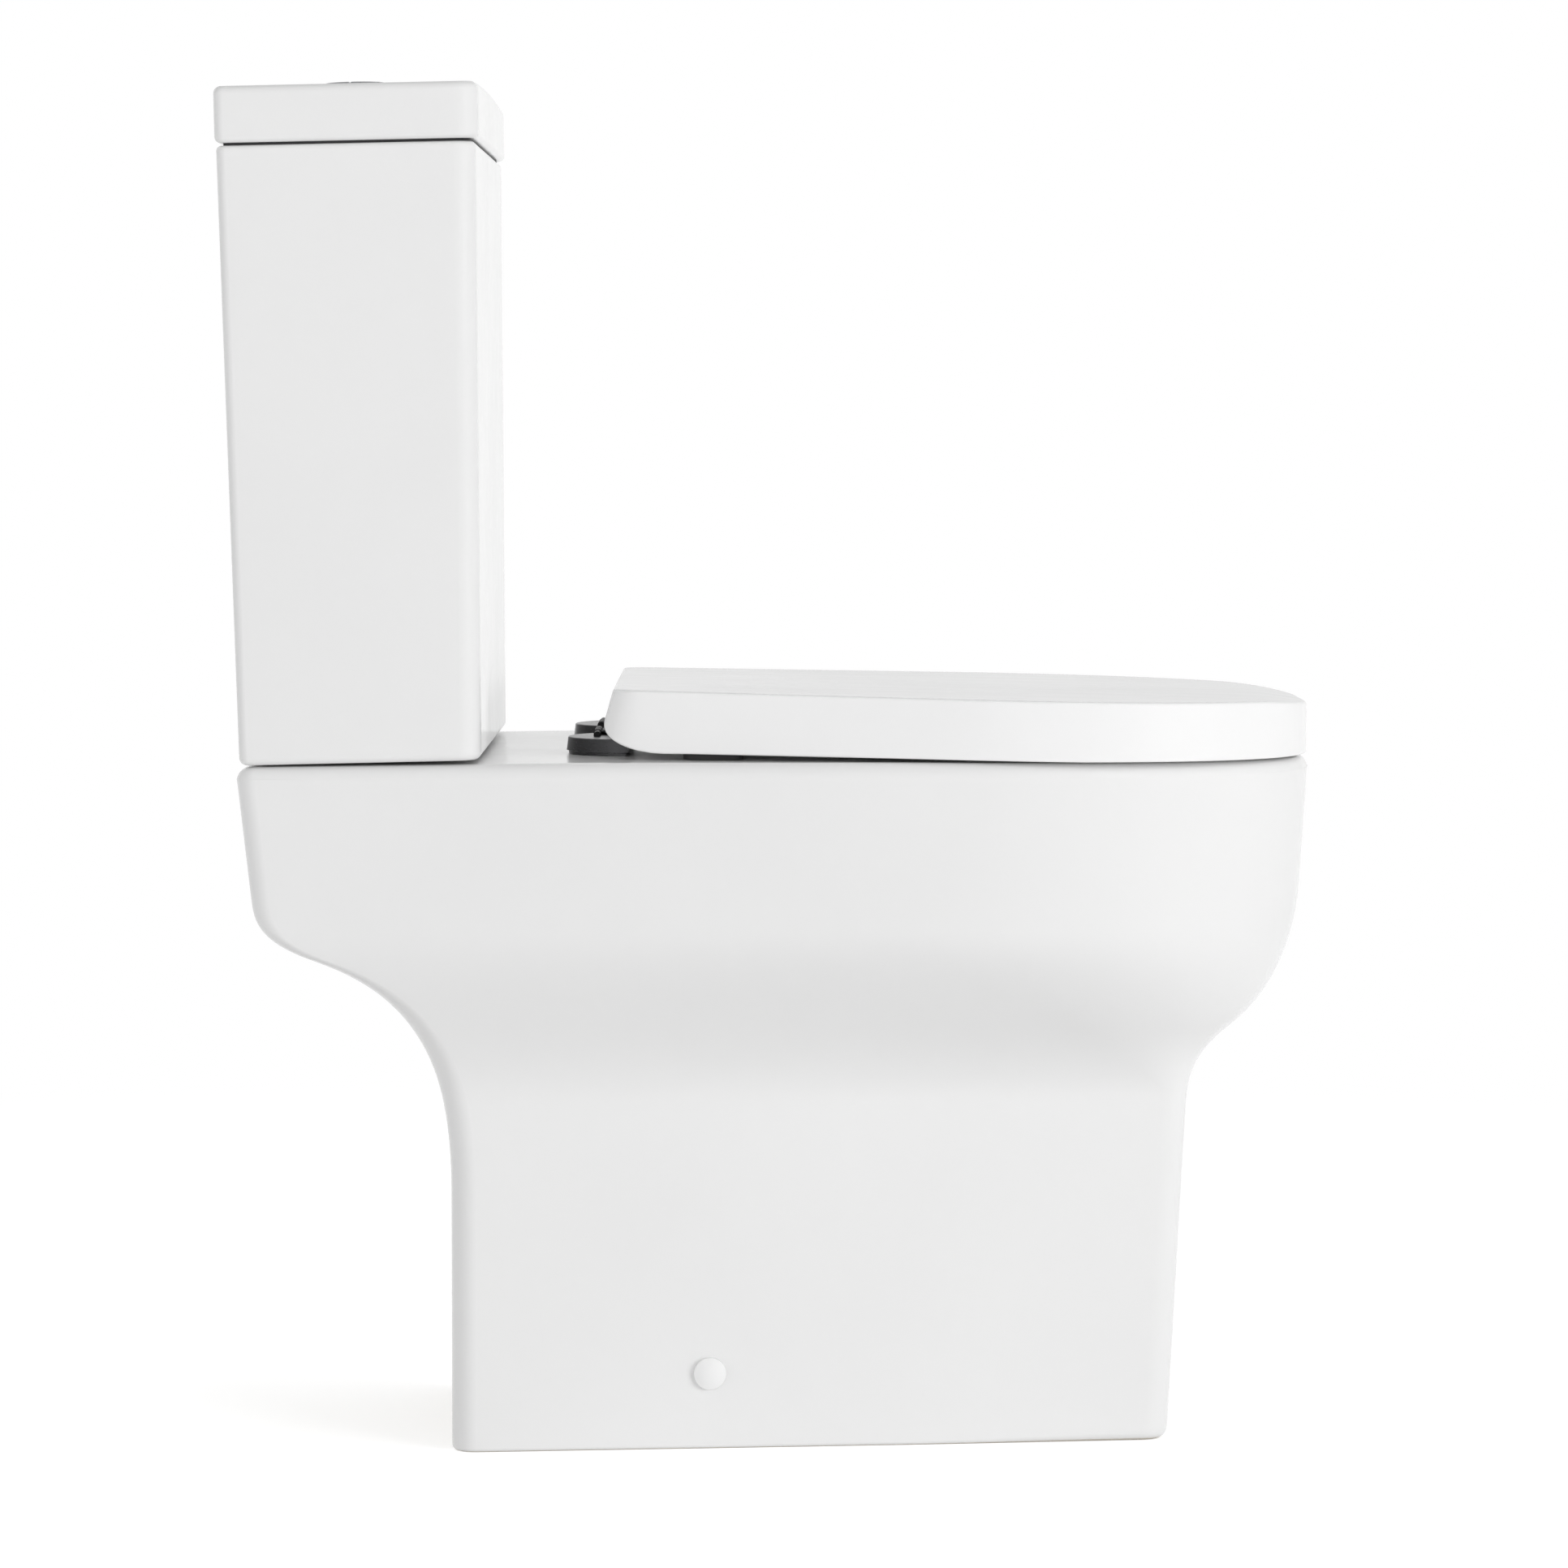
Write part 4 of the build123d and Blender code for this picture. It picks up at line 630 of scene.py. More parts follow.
def leaned(points):
    """From the cistern's own upright place to the leaning one on the deck, about the tank's rear foot."""
    x, y, z = np.moveaxis(points, -1, 0)
    return np.stack([
        x,
        PAN_REAR - TANK_SETBACK + y * cos(LEAN) + z * sin(LEAN),
        RIM_Z + TANK_REST - y * sin(LEAN) + z * cos(LEAN),
    ], axis=-1)


def cistern_rings(z, half, front, rear, draw):
    """Outlines at heights, drawn in by an array of walls; a corner keeps at least a third of its radius."""
    corner, rear_corner = [
        np.maximum(radius - draw, radius / 3) for radius in (TANK_CORNER, TANK_REAR_CORNER)
    ]
    return rounded_rings(z, half - draw, front + draw, rear - draw, corner, rear_corner)


def tank_rings(z, draw):
    """The tank's outlines at an array of heights above its base, which flare evenly, drawn in."""
    share = z / TANK_HEIGHT
    half, front = TANK_WIDTH / 2 + SIDE_FLARE * share, -TANK_DEPTH - FRONT_FLARE * share
    return cistern_rings(z, half, front, REAR_FLARE * share, draw)


upright = np.linspace(0, 1, 10)[1:-1]
tank_z = np.concatenate([
    TANK_BASE_ROUND * inset - TANK_SINK,
    TANK_BASE_ROUND + (TANK_HEIGHT - TANK_TOP_ROUND - TANK_BASE_ROUND) * upright,
    TANK_HEIGHT - TANK_TOP_ROUND + TANK_TOP_ROUND * rise,
    TANK_HEIGHT - TANK_TOP_ROUND + TANK_TOP_ROUND * rise[::-1],
    TANK_FLOOR + WELL_ROUND + (TANK_HEIGHT - TANK_TOP_ROUND - TANK_FLOOR - WELL_ROUND) * upright[::-1],
    TANK_FLOOR + WELL_ROUND * inset[::-1],
])
tank_draw = np.concatenate([
    TANK_BASE_ROUND * (1 - rise),
    0 * upright,
    TANK_TOP_ROUND * inset,
    TANK_WALL - TANK_TOP_ROUND * inset[::-1],
    TANK_WALL + 0 * upright,
    TANK_WALL + WELL_ROUND * (1 - rise[::-1]),
])
shell = tank_rings(tank_z, tank_draw)
base_middle = np.array([0, -TANK_DEPTH / 2, -TANK_SINK])
floor_middle = np.array([0, -TANK_DEPTH / 2, TANK_FLOOR])
fan = np.array([0, 0.4, 0.8])
tank = np.concatenate([
    to_pole(shell[0], fan, base_middle), shell, to_pole(shell[-1], fan[::-1], floor_middle)
])
cistern_china = china_finish("cistern_china", bare=False)
cistern_tank = smooth_piece("cistern_tank_china", [(leaned(tank), weave(tank))], cistern_china)
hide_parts("cistern_tank")
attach(cistern_tank, "pan")


# The flush and fill valves: injection-moulded plastic bodies, in white with blue-grey moving parts and nuts.
# Each stands on a gasket on the tank's floor, with a threaded tail through it and a backnut below.
white_moulding = moulded_finish("white_moulded_plastic", (0.66, 0.66, 0.64), (0.76, 0.76, 0.74), 0.36)
grey_moulding = moulded_finish("blue_grey_moulded_plastic", (0.11, 0.14, 0.18), (0.16, 0.19, 0.24), 0.36)
refinish(white_moulding, "flush_valve_base", "flush_valve_tower", "fill_valve_body", "fill_valve_float")
refinish(grey_moulding, "flush_valve_canister", "flush_valve_backnut", "fill_valve_backnut",
         "fill_valve_lever", "float_link")
refinish(rubber, "flush_valve_gasket", "flush_valve_seal", "fill_valve_gasket")
refinish(zinc, "lever_pin")


# The cistern lid: a loose china cover, gently crowned from side to side, with a skirt on the tank's edge and
# a lip that drops inside it. The button sits in a hole in its middle.
LID_HEIGHT, LID_WALL, LID_PLATE, LID_CROWN, LID_ROUND = 0.033, 0.009, 0.010, 0.0025, 0.0042
LID_SIDE, LID_FRONT, LID_REAR = 0.002, 0.002, 0.0006
SKIRT_ROUND, SKIRT_CHAMFER, SHADOW_GAP = 0.0035, 0.003, 0.0014
LIP_DEPTH, LIP_WALL, LIP_PLAY, LIP_EASE = 0.008, 0.006, 0.002, 0.002
BUTTON_Y, BUTTON_HOLE = -0.064, 0.0255
lid_half = TANK_WIDTH / 2 + SIDE_FLARE + LID_SIDE
lid_front = -TANK_DEPTH - FRONT_FLARE - LID_FRONT
lid_rear = REAR_FLARE + LID_REAR
plate_bottom = TANK_HEIGHT + LID_HEIGHT - LID_PLATE


def lid_rings(z, draw):
    """The cistern lid's outlines at heights, drawn in."""
    return cistern_rings(z, lid_half, lid_front, lid_rear, draw)


def crowned(rings, drop):
    """Rings dropped below the lid's crown, which falls with the square of the distance from the middle."""
    rings = rings.copy()
    crown = TANK_HEIGHT + LID_HEIGHT + LID_CROWN * (1 - (rings[..., 0] / lid_half) ** 2)
    rings[..., 2] = crown - np.reshape(drop, (-1, 1))
    return rings


top_edge = crowned(lid_rings(0 * rise, LID_ROUND * (1 - rise)), LID_ROUND * inset)
plate_edge = top_edge[0] * [1, 1, 0]
button_middle = np.array([0, BUTTON_Y, 0])
outward = plate_edge - button_middle
button_hole = button_middle + BUTTON_HOLE * outward / np.linalg.norm(outward, axis=1)[:, None]
spread = np.linspace(0, 1, 16)[:-1, None, None] ** 1.5
plate = crowned(button_hole + spread * (plate_edge - button_hole), np.zeros(15))
well = (button_hole + [0, 0, plate_bottom])[None]
skirt_z = np.concatenate([
    TANK_HEIGHT + LID_ROUND + (LID_HEIGHT - 2 * LID_ROUND) * upright[::-1],
    TANK_HEIGHT + SHADOW_GAP + SKIRT_ROUND * inset[::-1],
    [TANK_HEIGHT + SHADOW_GAP, plate_bottom - SKIRT_CHAMFER, plate_bottom],
])
skirt_draw = np.concatenate([
    0 * upright,
    SKIRT_ROUND * (1 - rise[::-1]),
    [LID_WALL, LID_WALL, LID_WALL + SKIRT_CHAMFER],
])
lid = np.concatenate([well, plate, top_edge, lid_rings(skirt_z, skirt_draw), well])
lip_bottom = TANK_HEIGHT - LIP_DEPTH
lip_z = np.array([
    plate_bottom, lip_bottom + LIP_EASE, lip_bottom, lip_bottom, lip_bottom + LIP_EASE, plate_bottom
])
lip_draw = TANK_WALL + LIP_PLAY + np.array([0, 0, LIP_EASE, LIP_WALL - LIP_EASE, LIP_WALL, LIP_WALL])
lip = tank_rings(lip_z, lip_draw)
cistern_lid = smooth_piece(
    "cistern_lid_china",
    [(leaned(lid), weave(lid)), (leaned(lip), weave(lip, loop=True))],
    cistern_china,
)
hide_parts("cistern_lid")
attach(cistern_lid, "cistern_lid")


# The lid's seal: a thin strip of black rubber glued under the skirt, set back from its face, on which the lid
# rests on the tank's edge. Its black at the back of the thin gap is painted shade: it stands for the deep
# shade of the joint between them.
SEAL_INSET = 0.0048
seal_draw = SEAL_INSET + (LID_WALL - SEAL_INSET) * np.array([0, 0, 1, 1])
seal = leaned(lid_rings(TANK_HEIGHT + SHADOW_GAP * np.array([0, 1, 1, 0]), seal_draw))
lid_seal = smooth_piece("lid_seal_strip_painted_gap_shade", [(seal, weave(seal, loop=True))], rubber, sharp=40)
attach(lid_seal, "cistern_lid")


# The dual flush button: a chromed ring on the lid with a threaded barrel below, held by a plastic nut, and a
# nearly flat button in it that is split into a large front key and a small rear key, each hollow below for
# its spring and its push rod.
BEZEL_RADIUS, BEZEL_BORE, BARREL_RADIUS, BARREL_LENGTH, BEZEL_HEIGHT = 0.025, 0.018, 0.0195, 0.025, 0.003
BEZEL_ROUND, BORE_ROUND, BORE_LIP = 0.0016, 0.0008, 0.004
BUTTON_RADIUS, BUTTON_RISE, BUTTON_DOME, BUTTON_SKIRT = 0.0176, 0.0059, 0.0007, 0.0125
SPLIT_OFFSET, SPLIT, KEY_WALL, KEY_ROOF, KEY_EDGE = 0.002, 0.001, 0.0008, 0.0071, 0.0007
KEY_FACE_INSETS = (0.0025, 0.005, 0.008)
button_seat = TANK_HEIGHT + LID_HEIGHT + LID_CROWN / 2
key_top = button_seat + BEZEL_HEIGHT + BUTTON_RISE
chrome = metal_finish("satin_chrome", (0.24, 0.243, 0.25), (0.32, 0.323, 0.33), 0.20, (1, 1, 1))
fine_round = np.linspace(0, 1, 97)[:-1] * 2 * pi
arc = np.linspace(0, pi / 2, 7)
bezel_r = np.concatenate([
    [BARREL_RADIUS, BARREL_RADIUS, BEZEL_RADIUS],
    BEZEL_RADIUS - BEZEL_ROUND + BEZEL_ROUND * np.cos(arc),
    BEZEL_BORE + BORE_ROUND - BORE_ROUND * np.sin(arc),
    [BEZEL_BORE, BEZEL_BORE],
])
bezel_z = button_seat + np.concatenate([
    [-BARREL_LENGTH, 0, 0],
    BEZEL_HEIGHT - BEZEL_ROUND + BEZEL_ROUND * np.sin(arc),
    BEZEL_HEIGHT - BORE_ROUND + BORE_ROUND * np.cos(arc),
    [-BORE_LIP, -BARREL_LENGTH],
])
bezel = leaned(turned(bezel_r, bezel_z, fine_round) + button_middle)
housing = smooth_piece("button_bezel", [(bezel, weave(bezel, loop=True))], chrome, sharp=35)
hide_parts("button_housing")
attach(housing, "cistern_lid")


def split_disc(radius, chord, side, draw):
    """Outlines of one part of a split disc, drawn in by an array: an arc closed by a straight chord, which
    lies at a distance from the middle; side -1 turns it to the front."""
    radius, chord = radius - draw[:, None], chord + draw[:, None]
    start = np.arcsin(np.clip(chord / radius, -0.999, 0.999))
    angle = start + (pi - 2 * start) * np.linspace(0, 1, 61)
    run = np.linspace(1, -1, 21)[1:-1]
    x = np.hstack([radius * np.cos(angle), -run * radius * np.cos(start)])
    y = np.hstack([radius * np.sin(angle), chord + 0 * run * radius])
    return np.stack([x, side * y, 0 * x], axis=-1)


key_draw = np.concatenate([[KEY_WALL, KEY_WALL, 0, 0], KEY_EDGE * inset, KEY_FACE_INSETS])
key_drop = np.concatenate([[0, 0, 0, KEY_EDGE], KEY_EDGE * (1 - rise), [0, 0, 0]])
for name, node, body_name, side in (
    ("full_flush_key", "full_flush_button", "full_button", -1),
    ("half_flush_key", "half_flush_button", "half_button", 1),
):
    rings = split_disc(BUTTON_RADIUS, side * SPLIT_OFFSET + SPLIT / 2, side, key_draw)
    reach = rings[..., 0] ** 2 + rings[..., 1] ** 2
    rings[..., 2] = key_top - BUTTON_DOME * reach / BUTTON_RADIUS**2 - key_drop[:, None]
    rings[0, :, 2] = key_top - KEY_ROOF
    rings[1:3, :, 2] = key_top - BUTTON_SKIRT
    heart = np.array([0, (SPLIT_OFFSET + side * BUTTON_RADIUS) / 2, key_top])
    dome_fall = BUTTON_DOME * heart[1] ** 2 / BUTTON_RADIUS**2
    rings = capped(rings, heart - [0, 0, KEY_ROOF], heart - [0, 0, dome_fall])
    key = smooth_piece(name, [(leaned(rings + button_middle), weave(rings))], chrome, sharp=40)
    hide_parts(node)
    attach(key, body_name)
refinish(white_moulding, "button_nut")
refinish(grey_moulding, "full_push_rod", "half_push_rod")
refinish(zinc, "full_button_spring", "half_button_spring")


# The seat: a ring of pressed white thermoset plastic, rounded for sitting, that rests on the rim on four soft
# feet. It follows the plan of its lid, a little smaller, and two arms at its back hold it to the hinges.
COVER_REAR_MARGIN, COVER_SETBACK, COVER_CORNER = 0.209, 0.0042, 0.018
COVER_REAR_INSET, COVER_FLANK_INSET = 0.028, 0.004
SEAT_LIFT, SEAT_THICKNESS, SEAT_ROUND, SEAT_INSET, SEAT_REAR_INSET = 0.005, 0.016, 0.006, 0.009, 0.0125
SEAT_EASE = 0.001
HOLE_WIDTH, HOLE_LENGTH, HOLE_MARGIN, HOLE_ROUND = 0.212, 0.268, 0.084, 0.009
COVER_BACK = PAN_REAR - COVER_REAR_MARGIN


def cover_rings(z, draw, rear_draw):
    """The plan of the seat's cover at heights, drawn in by arrays at the sides and at the rear."""
    return plan_rings(
        z,
        COVER_BACK - rear_draw,
        PAN_FRONT + COVER_SETBACK + draw,
        PAN_WIDTH / 2 - COVER_REAR_INSET - draw,
        PAN_WIDTH / 2 - COVER_FLANK_INSET - draw,
        NOSE_FLAT / 2,
        NOSE_LENGTH - draw,
        COVER_CORNER,
    )


def seat_finish(name):
    """Glossy white thermoset: a very even white, a trace of orange peel and faint wiping marks."""
    material, make = new_finish(name)
    cloud = make.noise(9, 3)
    wipe = make.noise(40, 4, (1, 0.25, 1))
    coat(
        material,
        Base_Color=make.blend(cloud, (0.85, 0.85, 0.85), (0.88, 0.88, 0.88)),
        Roughness=0.14 + wipe * 0.12,
        Normal=make.bump(make.noise(120, 1), 0.00004),
        Specular_IOR_Level=0.45,
    )
    return material


seat_white = seat_finish("seat_thermoset")
seat_bottom = RIM_Z + SEAT_LIFT
seat_top = seat_bottom + SEAT_THICKNESS
hole_y = PAN_FRONT + HOLE_MARGIN + HOLE_LENGTH / 2
outside_z = np.concatenate([
    [seat_bottom, seat_bottom + SEAT_EASE], seat_top - SEAT_ROUND + SEAT_ROUND * rise
])
outside_draw = np.concatenate([[SEAT_EASE, 0], SEAT_ROUND * inset])
outside = cover_rings(outside_z, SEAT_INSET + outside_draw, SEAT_REAR_INSET + outside_draw)
heading = outside[-1, :, :2] - [0, hole_y]
heading = np.arctan2(heading[:, 1] / HOLE_LENGTH, heading[:, 0] / HOLE_WIDTH)


def hole_rings(z, grow):
    """Ovals round the seat's hole at heights, grown by an array."""
    grow = np.reshape(grow, (-1, 1))
    x = (HOLE_WIDTH / 2 + grow) * np.cos(heading)
    y = hole_y + (HOLE_LENGTH / 2 + grow) * np.sin(heading)
    return np.stack([x, y, np.reshape(z, (-1, 1)) + 0 * x], axis=-1)


inside = hole_rings(
    np.concatenate([seat_top - HOLE_ROUND * inset, [seat_bottom + SEAT_EASE, seat_bottom]]),
    np.concatenate([HOLE_ROUND * (1 - rise), [0, SEAT_EASE]]),
)
across = np.linspace(0, 1, 12)[1:-1, None, None]
seat_face = outside[-1] + across * (inside[0] - outside[-1])
seat_ring = np.concatenate([outside, seat_face, inside])
seat = smooth_piece("seat_ring", [(seat_ring, weave(seat_ring, loop=True))], seat_white)
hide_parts("seat")
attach(seat, "seat")
# Near black: partly the buffers' own dark rubber, partly painted shade for the dark gap under the seat and
# its lid.
soft = moulded_finish("soft_buffer", (0.030, 0.030, 0.031), (0.050, 0.050, 0.051), 0.5)
refinish(soft, "seat_buffers", "lid_buffers")


# The seat lid: a thin shell of the same plastic that wraps down over the seat on all sides but the back,
# where its corners sweep up to clear the hinges. Its top falls a little towards the front, and two webs
# inside its back wall take the hinge arms.
COVER_GAP, COVER_REAR_HEIGHT, COVER_FRONT_HEIGHT = 0.0026, 0.0375, 0.0287
HEM_REAR_GAP, HEM_FRONT_GAP, HEM_REAR, HEM_FRONT = 0.0038, 0.0007, 0.050, -0.170
COVER_WALL, COVER_ROUND, COVER_EDGE = 0.005, 0.0018, 0.0010
TAIL_LENGTH, TAIL_HEIGHT, TAIL_LEAN, TAIL_REACH = 0.032, 0.0185, 0.28, 0.002
NOSE_FALL, NOSE_START = 0.0040, 0.0444
HINGE_X, PIN_HEAD, LUG_WIDTH, LUG_GAP = 0.078, 0.017, 0.016, 0.002
WEB_DEPTH, WEB_DROP, ARM_EDGE = 0.008, 0.0005, 0.0012
cover_bottom = RIM_Z + COVER_GAP
pins_low, pins_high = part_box("hinge_pins")
hinge_z = (pins_low.z + pins_high.z) / 2
seat_lug_start = HINGE_X - PIN_HEAD - LUG_GAP - LUG_WIDTH
lid_lug_start = seat_lug_start - LUG_GAP - LUG_WIDTH


def cover_top(y):
    """Height of the lid's top, falling evenly from the rear to the front, and with a square over the nose."""
    share = (COVER_BACK - y) / (COVER_BACK - PAN_FRONT)
    nose = np.clip((PAN_FRONT + NOSE_START - y) / NOSE_START, 0, 1)
    fall = (COVER_REAR_HEIGHT - COVER_FRONT_HEIGHT) * share + NOSE_FALL * nose**2
    return cover_bottom + COVER_REAR_HEIGHT - fall


def tail_share(y):
    """How far along the lid's tail a point lies: 0 where the tail starts, 1 at the lid's back."""
    return np.clip((y - COVER_BACK + TAIL_LENGTH) / TAIL_LENGTH, 0, 1)


def cover_hem(y):
    """Height of the wall's lower edge: a gap over the rim that opens evenly towards the back, then up a
    quarter of an oval over the tail's length."""
    gap = np.interp(y, [HEM_FRONT, HEM_REAR], [HEM_FRONT_GAP, HEM_REAR_GAP])
    return RIM_Z - rim_fall(y) + gap + TAIL_HEIGHT * (1 - np.sqrt(1 - tail_share(y) ** 2))


def cover_shell(draw, share, drop, lift):
    """Rings of the lid, drawn in by an array; each point's height runs by a share from below the top
    (dropped) down to the hem (lifted), and the tail leans back with the square of its share."""
    rings = cover_rings(0 * draw, draw, draw)
    high = cover_top(rings[..., 1]) - drop[:, None]
    low = cover_hem(rings[..., 1]) + lift[:, None]
    rings[..., 2] = high + share[:, None] * (low - high)
    tail = tail_share(rings[..., 1]) ** 2
    rings[..., 1] += tail * (TAIL_REACH - TAIL_LEAN * (rings[..., 2] - cover_bottom - TAIL_HEIGHT))
    return rings


none, full = np.zeros(9), np.ones(9)
down = np.linspace(0, 1, 8)[1:-1]
still = np.zeros(6)
cover_wall = np.concatenate([
    cover_shell(COVER_ROUND * (1 - rise), none, COVER_ROUND * inset, none),
    cover_shell(still, down, still + COVER_ROUND, still + COVER_EDGE),
    cover_shell(COVER_EDGE * inset, full, none, COVER_EDGE * (1 - rise)),
    cover_shell(COVER_WALL - COVER_EDGE * inset[::-1], full, none, COVER_EDGE * (1 - rise[::-1])),
    cover_shell(still + COVER_WALL, 1 - down, still + 2 * COVER_WALL, still + COVER_EDGE),
    cover_shell(COVER_WALL * (2 - rise[::-1]), none, COVER_WALL * (1 + inset[::-1]), none),
])
plate_middle = np.array([0, (COVER_BACK + PAN_FRONT) / 2, 0])
shares = np.linspace(0, 1, 10)[:-1]
upper = to_pole(cover_wall[0] * [1, 1, 0], shares, plate_middle)
upper[..., 2] = cover_top(upper[..., 1])
under = to_pole(cover_wall[-1] * [1, 1, 0], shares[::-1], plate_middle)
under[..., 2] = cover_top(under[..., 1]) - COVER_WALL
cover = np.concatenate([upper, cover_wall, under])


def hinge_arm(start, front, rear, bottom, top):
    """A rounded arm as wide as a hinge lug, from a distance from the middle outwards."""
    return rounded_block(LUG_WIDTH / 2, front, rear, bottom, top, ARM_EDGE) + [start + LUG_WIDTH / 2, 0, 0]


def mirrored(shell, loop=False):
    """A shell on the right and its mirror image on the left."""
    return [(shell, weave(shell, loop=loop)), (shell * [-1, 1, 1], weave(shell, loop=loop))]


web_back = COVER_BACK - COVER_WALL
web_top = cover_bottom + COVER_REAR_HEIGHT - COVER_WALL
web = hinge_arm(lid_lug_start, web_back - WEB_DEPTH, web_back, hinge_z - WEB_DROP, web_top)
seat_lid = smooth_piece("seat_lid_shell", [(cover, weave(cover)), *mirrored(web)], seat_white)
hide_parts("seat_lid")
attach(seat_lid, "seat_lid")


# The hinges: low round heads of satin metal, cut straight at the front where the seat begins, over a thin
# plate;
# their colour is darkened far below the metal's own, a painted reflection of dark surroundings. A stud from
# each goes down through the deck to a washer and a wing nut, and burnished steel arms with bored barrels on
# the hinge pins carry the seat and its lid; these are coloured near black, painted shade that blends them
# into the shaded hollow under the lid's tail.
HEAD_X, HEAD_Y, HEAD_RADIUS, HEAD_CHORD = 0.070, 0.080, 0.0415, 0.005
HEAD_FOOT, HEAD_TOP, HEAD_TAPER, HEAD_BEVEL, PLATE_DRAW = 0.0017, 0.0096, 0.0010, 0.0008, 0.0014
HEAD_EASE, HEAD_LIP, HEAD_FACE_INSETS = 0.0002, 0.0006, (0.004, 0.012)
LUG_RADIUS, LUG_EASE, PIN_PLAY = 0.0025, 0.0002, 0.0021
ARM_THICKNESS, ARM_REST, SEAT_ARM_LAP, LID_ARM_LAP = 0.0026, 0.0001, 0.008, 0.012
hinge_y = (pins_low.y + pins_high.y) / 2
# Colour darkened to near black: a painted reflection of the dark surroundings on the camera's side, not the
# metal's own tone.
hinge_metal = metal_finish(
    "satin_nickel_painted_dark_reflection", (0.050, 0.050, 0.052), (0.085, 0.085, 0.088), 0.20, (1, 1, 14)
)
# Near black: painted shade, so that the pins, barrels and arms read as the shaded hollow under the lid's
# tail.
steel_painted_shade = metal_finish("burnished_steel_painted_shade", (0.018, 0.018, 0.019), (0.035, 0.035, 0.036), 0.42, (0.1, 1, 1))
refinish(steel_painted_shade, "hinge_pins")
refinish(zinc, "hinge_bolts")
refinish(rubber, "hinge_washers")
refinish(white_moulding, "hinge_nuts")
plate_draw = np.full(3, PLATE_DRAW)
plate_z = RIM_Z + np.array([0, HEAD_FOOT / 2, HEAD_FOOT])
head_draw = np.concatenate([
    [HEAD_BEVEL, 0, HEAD_EASE],
    HEAD_TAPER + HEAD_BEVEL * inset,
    HEAD_TAPER + HEAD_BEVEL + np.array(HEAD_FACE_INSETS),
])
head_z = RIM_Z + np.concatenate([
    [HEAD_FOOT, HEAD_FOOT + HEAD_EASE, HEAD_FOOT + HEAD_LIP],
    HEAD_TOP - HEAD_BEVEL + HEAD_BEVEL * rise,
    [HEAD_TOP, HEAD_TOP],
])
for name, node, draw, height in (
    ("hinge_plates", "hinge_bases", plate_draw, plate_z),
    ("hinge_heads", "hinge_caps", head_draw, head_z),
):
    rings = split_disc(HEAD_RADIUS, HEAD_CHORD, 1, draw)
    rings[..., 2] = height[:, None]
    heart_y = (HEAD_CHORD + HEAD_RADIUS) / 2
    rings = capped(rings, np.array([0, heart_y, height[0]]), np.array([0, heart_y, height[-1]]))
    piece = smooth_piece(name, mirrored(rings + [HEAD_X, HEAD_Y, 0]), hinge_metal, sharp=40)
    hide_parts(node)
    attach(piece, "pan")


def hinge_lug(start):
    """A bored barrel on the hinge axis, from a distance from the middle outwards, with softened ends."""
    end = start + LUG_WIDTH
    along = np.array([start, start, start + LUG_EASE, end - LUG_EASE, end, end])
    eased = LUG_RADIUS - LUG_EASE
    radius = np.array([PIN_PLAY, eased, LUG_RADIUS, LUG_RADIUS, eased, PIN_PLAY])
    return turned(radius, along, around)[..., [2, 0, 1]] + [0, hinge_y, hinge_z]


arm_bottom = RIM_Z + HEAD_TOP + ARM_REST
for name, body_name, start, front in (
    ("seat_hinge_arms", "seat", seat_lug_start, COVER_BACK - SEAT_REAR_INSET - SEAT_ARM_LAP),
    ("lid_hinge_arms", "seat_lid", lid_lug_start, COVER_BACK - LID_ARM_LAP),
):
    arm = hinge_arm(start, front, hinge_y - PIN_PLAY, arm_bottom, arm_bottom + ARM_THICKNESS)
    arms = smooth_piece(name, mirrored(hinge_lug(start), loop=True) + mirrored(arm), steel_painted_shade, sharp=40)
    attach(arms, body_name)


# The floor fixing: plastic brackets inside the foot and a plated screw into each through the foot's side,
# under a slightly domed snap cap of white plastic. The caps lie square to the sides, which run in towards
# the front.
CAP_HEIGHT, CAP_ROUND, CAP_WALL, CAP_DOME, CAP_SINK = 0.005, 0.0009, 0.0014, 0.0022, 0.0008
caps_low, caps_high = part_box("side_cover_caps")
cap_radius = (caps_high.z - caps_low.z) / 2
dome_radius = cap_radius - CAP_ROUND
wall_turn = np.arctan2((FOOT_REAR_WIDTH - FOOT_FRONT_WIDTH) / 2, FOOT_LENGTH - 2 * FOOT_CORNER)
dome_share = np.linspace(1, 0, 14)[1:]
cap_r = np.concatenate([
    [cap_radius - CAP_WALL, cap_radius],
    dome_radius + CAP_ROUND * np.cos(arc),
    dome_radius * dome_share,
    [0, cap_radius - CAP_WALL],
])
cap_z = np.concatenate([
    [-CAP_SINK, -CAP_SINK],
    CAP_HEIGHT - CAP_DOME - CAP_ROUND + CAP_ROUND * np.sin(arc),
    CAP_HEIGHT - CAP_DOME * dome_share**2,
    [0, 0],
])
up_z, along_y, out_x = np.moveaxis(turned(cap_r, cap_z, fine_round), -1, 0)
cap_x = caps_high.x - CAP_HEIGHT * cos(wall_turn) - dome_radius * sin(wall_turn)
cap_x = cap_x - CAP_ROUND * (1 - cos(wall_turn))
snap = np.stack([
    cap_x + out_x * cos(wall_turn) + along_y * sin(wall_turn),
    (caps_low.y + caps_high.y) / 2 - out_x * sin(wall_turn) + along_y * cos(wall_turn),
    (caps_low.z + caps_high.z) / 2 + up_z,
], axis=-1)
snaps = smooth_piece("side_snap_caps", mirrored(snap, loop=True), seat_white, sharp=40)
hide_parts("side_cover_caps")
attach(snaps, "pan")
refinish(zinc, "side_screws")
refinish(white_moulding, "floor_brackets")


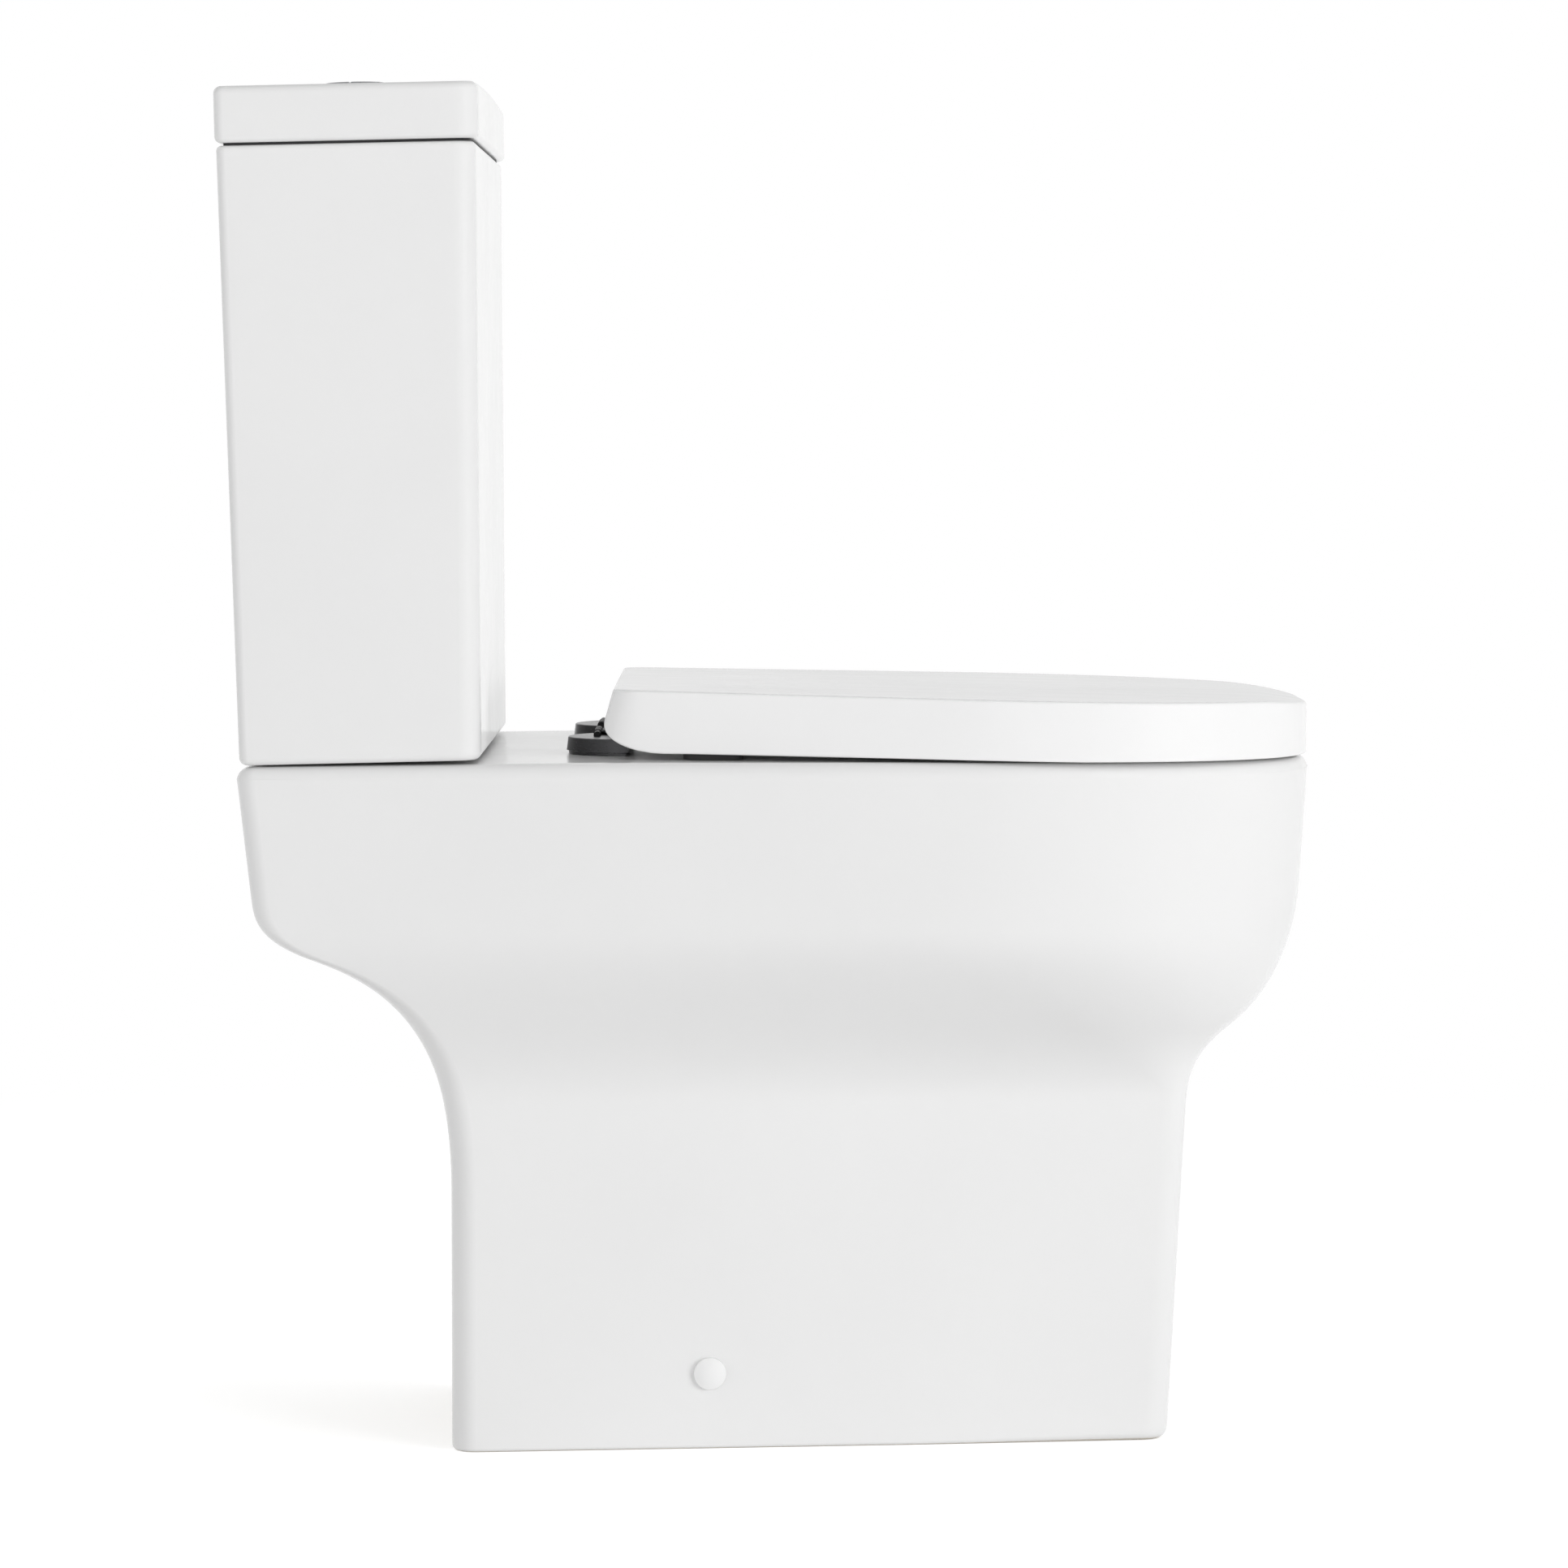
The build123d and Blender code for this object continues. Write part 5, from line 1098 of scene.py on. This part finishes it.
# The studio: a pale floor that fades to the white of the backdrop, five wide softboxes that leave no mirror
# image on the glaze, and a long lens at the height of the cistern that looks along the toilet's side.
FLOOR_HALF, FLOOR_NEAR, FLOOR_FAR, FLOOR_LIFT = 40.0, 0.7, 1.8, 0.54
AMBIENT = 0.445
WHITE, FLOOR_GREY = (1, 1, 1, 1), (0.90, 0.90, 0.90, 1)
floor_mesh = bpy.data.meshes.new("studio_floor")
floor_mesh.from_pydata(
    [(-FLOOR_HALF, -FLOOR_HALF, 0), (FLOOR_HALF, -FLOOR_HALF, 0), (FLOOR_HALF, FLOOR_HALF, 0),
     (-FLOOR_HALF, FLOOR_HALF, 0)],
    [],
    [(0, 1, 2, 3)],
)
floor = bpy.data.objects.new("studio_floor", floor_mesh)
bpy.context.scene.collection.objects.link(floor)


def shown(make):
    """1 for the rays that show the background itself, seen straight, in a mirror or through glass, else 0."""
    straight, mirror, glass = [make.make("ShaderNodeLightPath", output=ray) for ray in (
        "Is Camera Ray", "Is Glossy Ray", "Is Transmission Ray")]
    return make.math("MINIMUM", straight + mirror + glass, 1.0)


floor_material, make = new_finish("studio_floor")
floor_mesh.materials.append(floor_material)
tree = floor_material.node_tree
place = make.make("ShaderNodeTexCoord", output="Object")
distance = make.make("ShaderNodeVectorMath", {"operation": "LENGTH"}, {0: place}, output="Value")
far = make.make("ShaderNodeMapRange", {"interpolation_type": "SMOOTHSTEP"}, {
    "Value": distance, "From Min": FLOOR_NEAR, "From Max": FLOOR_FAR, "To Min": 0.0, "To Max": 1.0
})
seen = shown(make)
lit = make.make("ShaderNodeBsdfDiffuse", sockets={"Color": FLOOR_GREY})
lift = make.make("ShaderNodeEmission", sockets={"Color": WHITE, "Strength": seen * FLOOR_LIFT})
lit = make.make("ShaderNodeAddShader", sockets={0: lit, 1: lift})
white = make.make("ShaderNodeEmission", sockets={"Color": WHITE, "Strength": 1.0})
ground = make.make("ShaderNodeMixShader", sockets={0: seen * far, 1: lit, 2: white})
tree.nodes.remove(tree.nodes["Principled BSDF"])
tree.links.new(ground.socket, tree.nodes["Material Output"].inputs["Surface"])

world = bpy.data.worlds.new("white_studio")
bpy.context.scene.world = world
world.use_nodes = True
backdrop = world.node_tree.nodes["Background"]
strength = AMBIENT + shown(Finish(world.node_tree)) * (1 - AMBIENT)
world.node_tree.links.new(strength.socket, backdrop.inputs["Strength"])
backdrop.inputs["Color"].default_value = WHITE

SOFTBOX_HEIGHT, LIT_POINT = 0.9, (0, 0, 0.36)


def softbox(name, place, width, power):
    """A low, wide soft light at a place, turned to the middle of the toilet's side."""
    lamp = bpy.data.lights.new(name, "AREA")
    lamp.shape = "RECTANGLE"
    lamp.size, lamp.size_y = width, SOFTBOX_HEIGHT
    lamp.energy = power
    holder = bpy.data.objects.new(name, lamp)
    holder.location = place
    holder.visible_glossy = False
    holder.rotation_euler = (Vector(LIT_POINT) - Vector(place)).to_track_quat("-Z", "Y").to_euler()
    bpy.context.scene.collection.objects.link(holder)


softbox("front_left_softbox", (-2.24, -3.19, 0.62), 2.2, 61)
softbox("side_softbox", (-4.5, 0.3, 0.75), 2.4, 12)
softbox("rear_left_softbox", (-2.6, 2.9, 0.62), 2.2, 26)
softbox("high_softbox", (-2.4, -1.9, 2.0), 0.9, 10)
softbox("right_softbox", (3.0, 1.2, 0.55), 2.2, 42)

PHOTO_SIDE, FOCAL_PIXELS, SENSOR = 1932, 7500, 36.0
CAMERA_PLACE = (-3.5916, 0.010, 0.605)
PITCH, YAW = radians(3.63), radians(0.236)
look = Vector((cos(PITCH) * cos(YAW), -cos(PITCH) * sin(YAW), -sin(PITCH)))
camera_data = bpy.data.cameras.new("camera")
camera_data.sensor_width = SENSOR
camera_data.lens = SENSOR * FOCAL_PIXELS / PHOTO_SIDE
camera = bpy.data.objects.new("camera", camera_data)
camera.location = CAMERA_PLACE
camera.rotation_euler = look.to_track_quat("-Z", "Y").to_euler()
bpy.context.scene.collection.objects.link(camera)
bpy.context.scene.camera = camera
bpy.context.scene.view_settings.view_transform = "Standard"
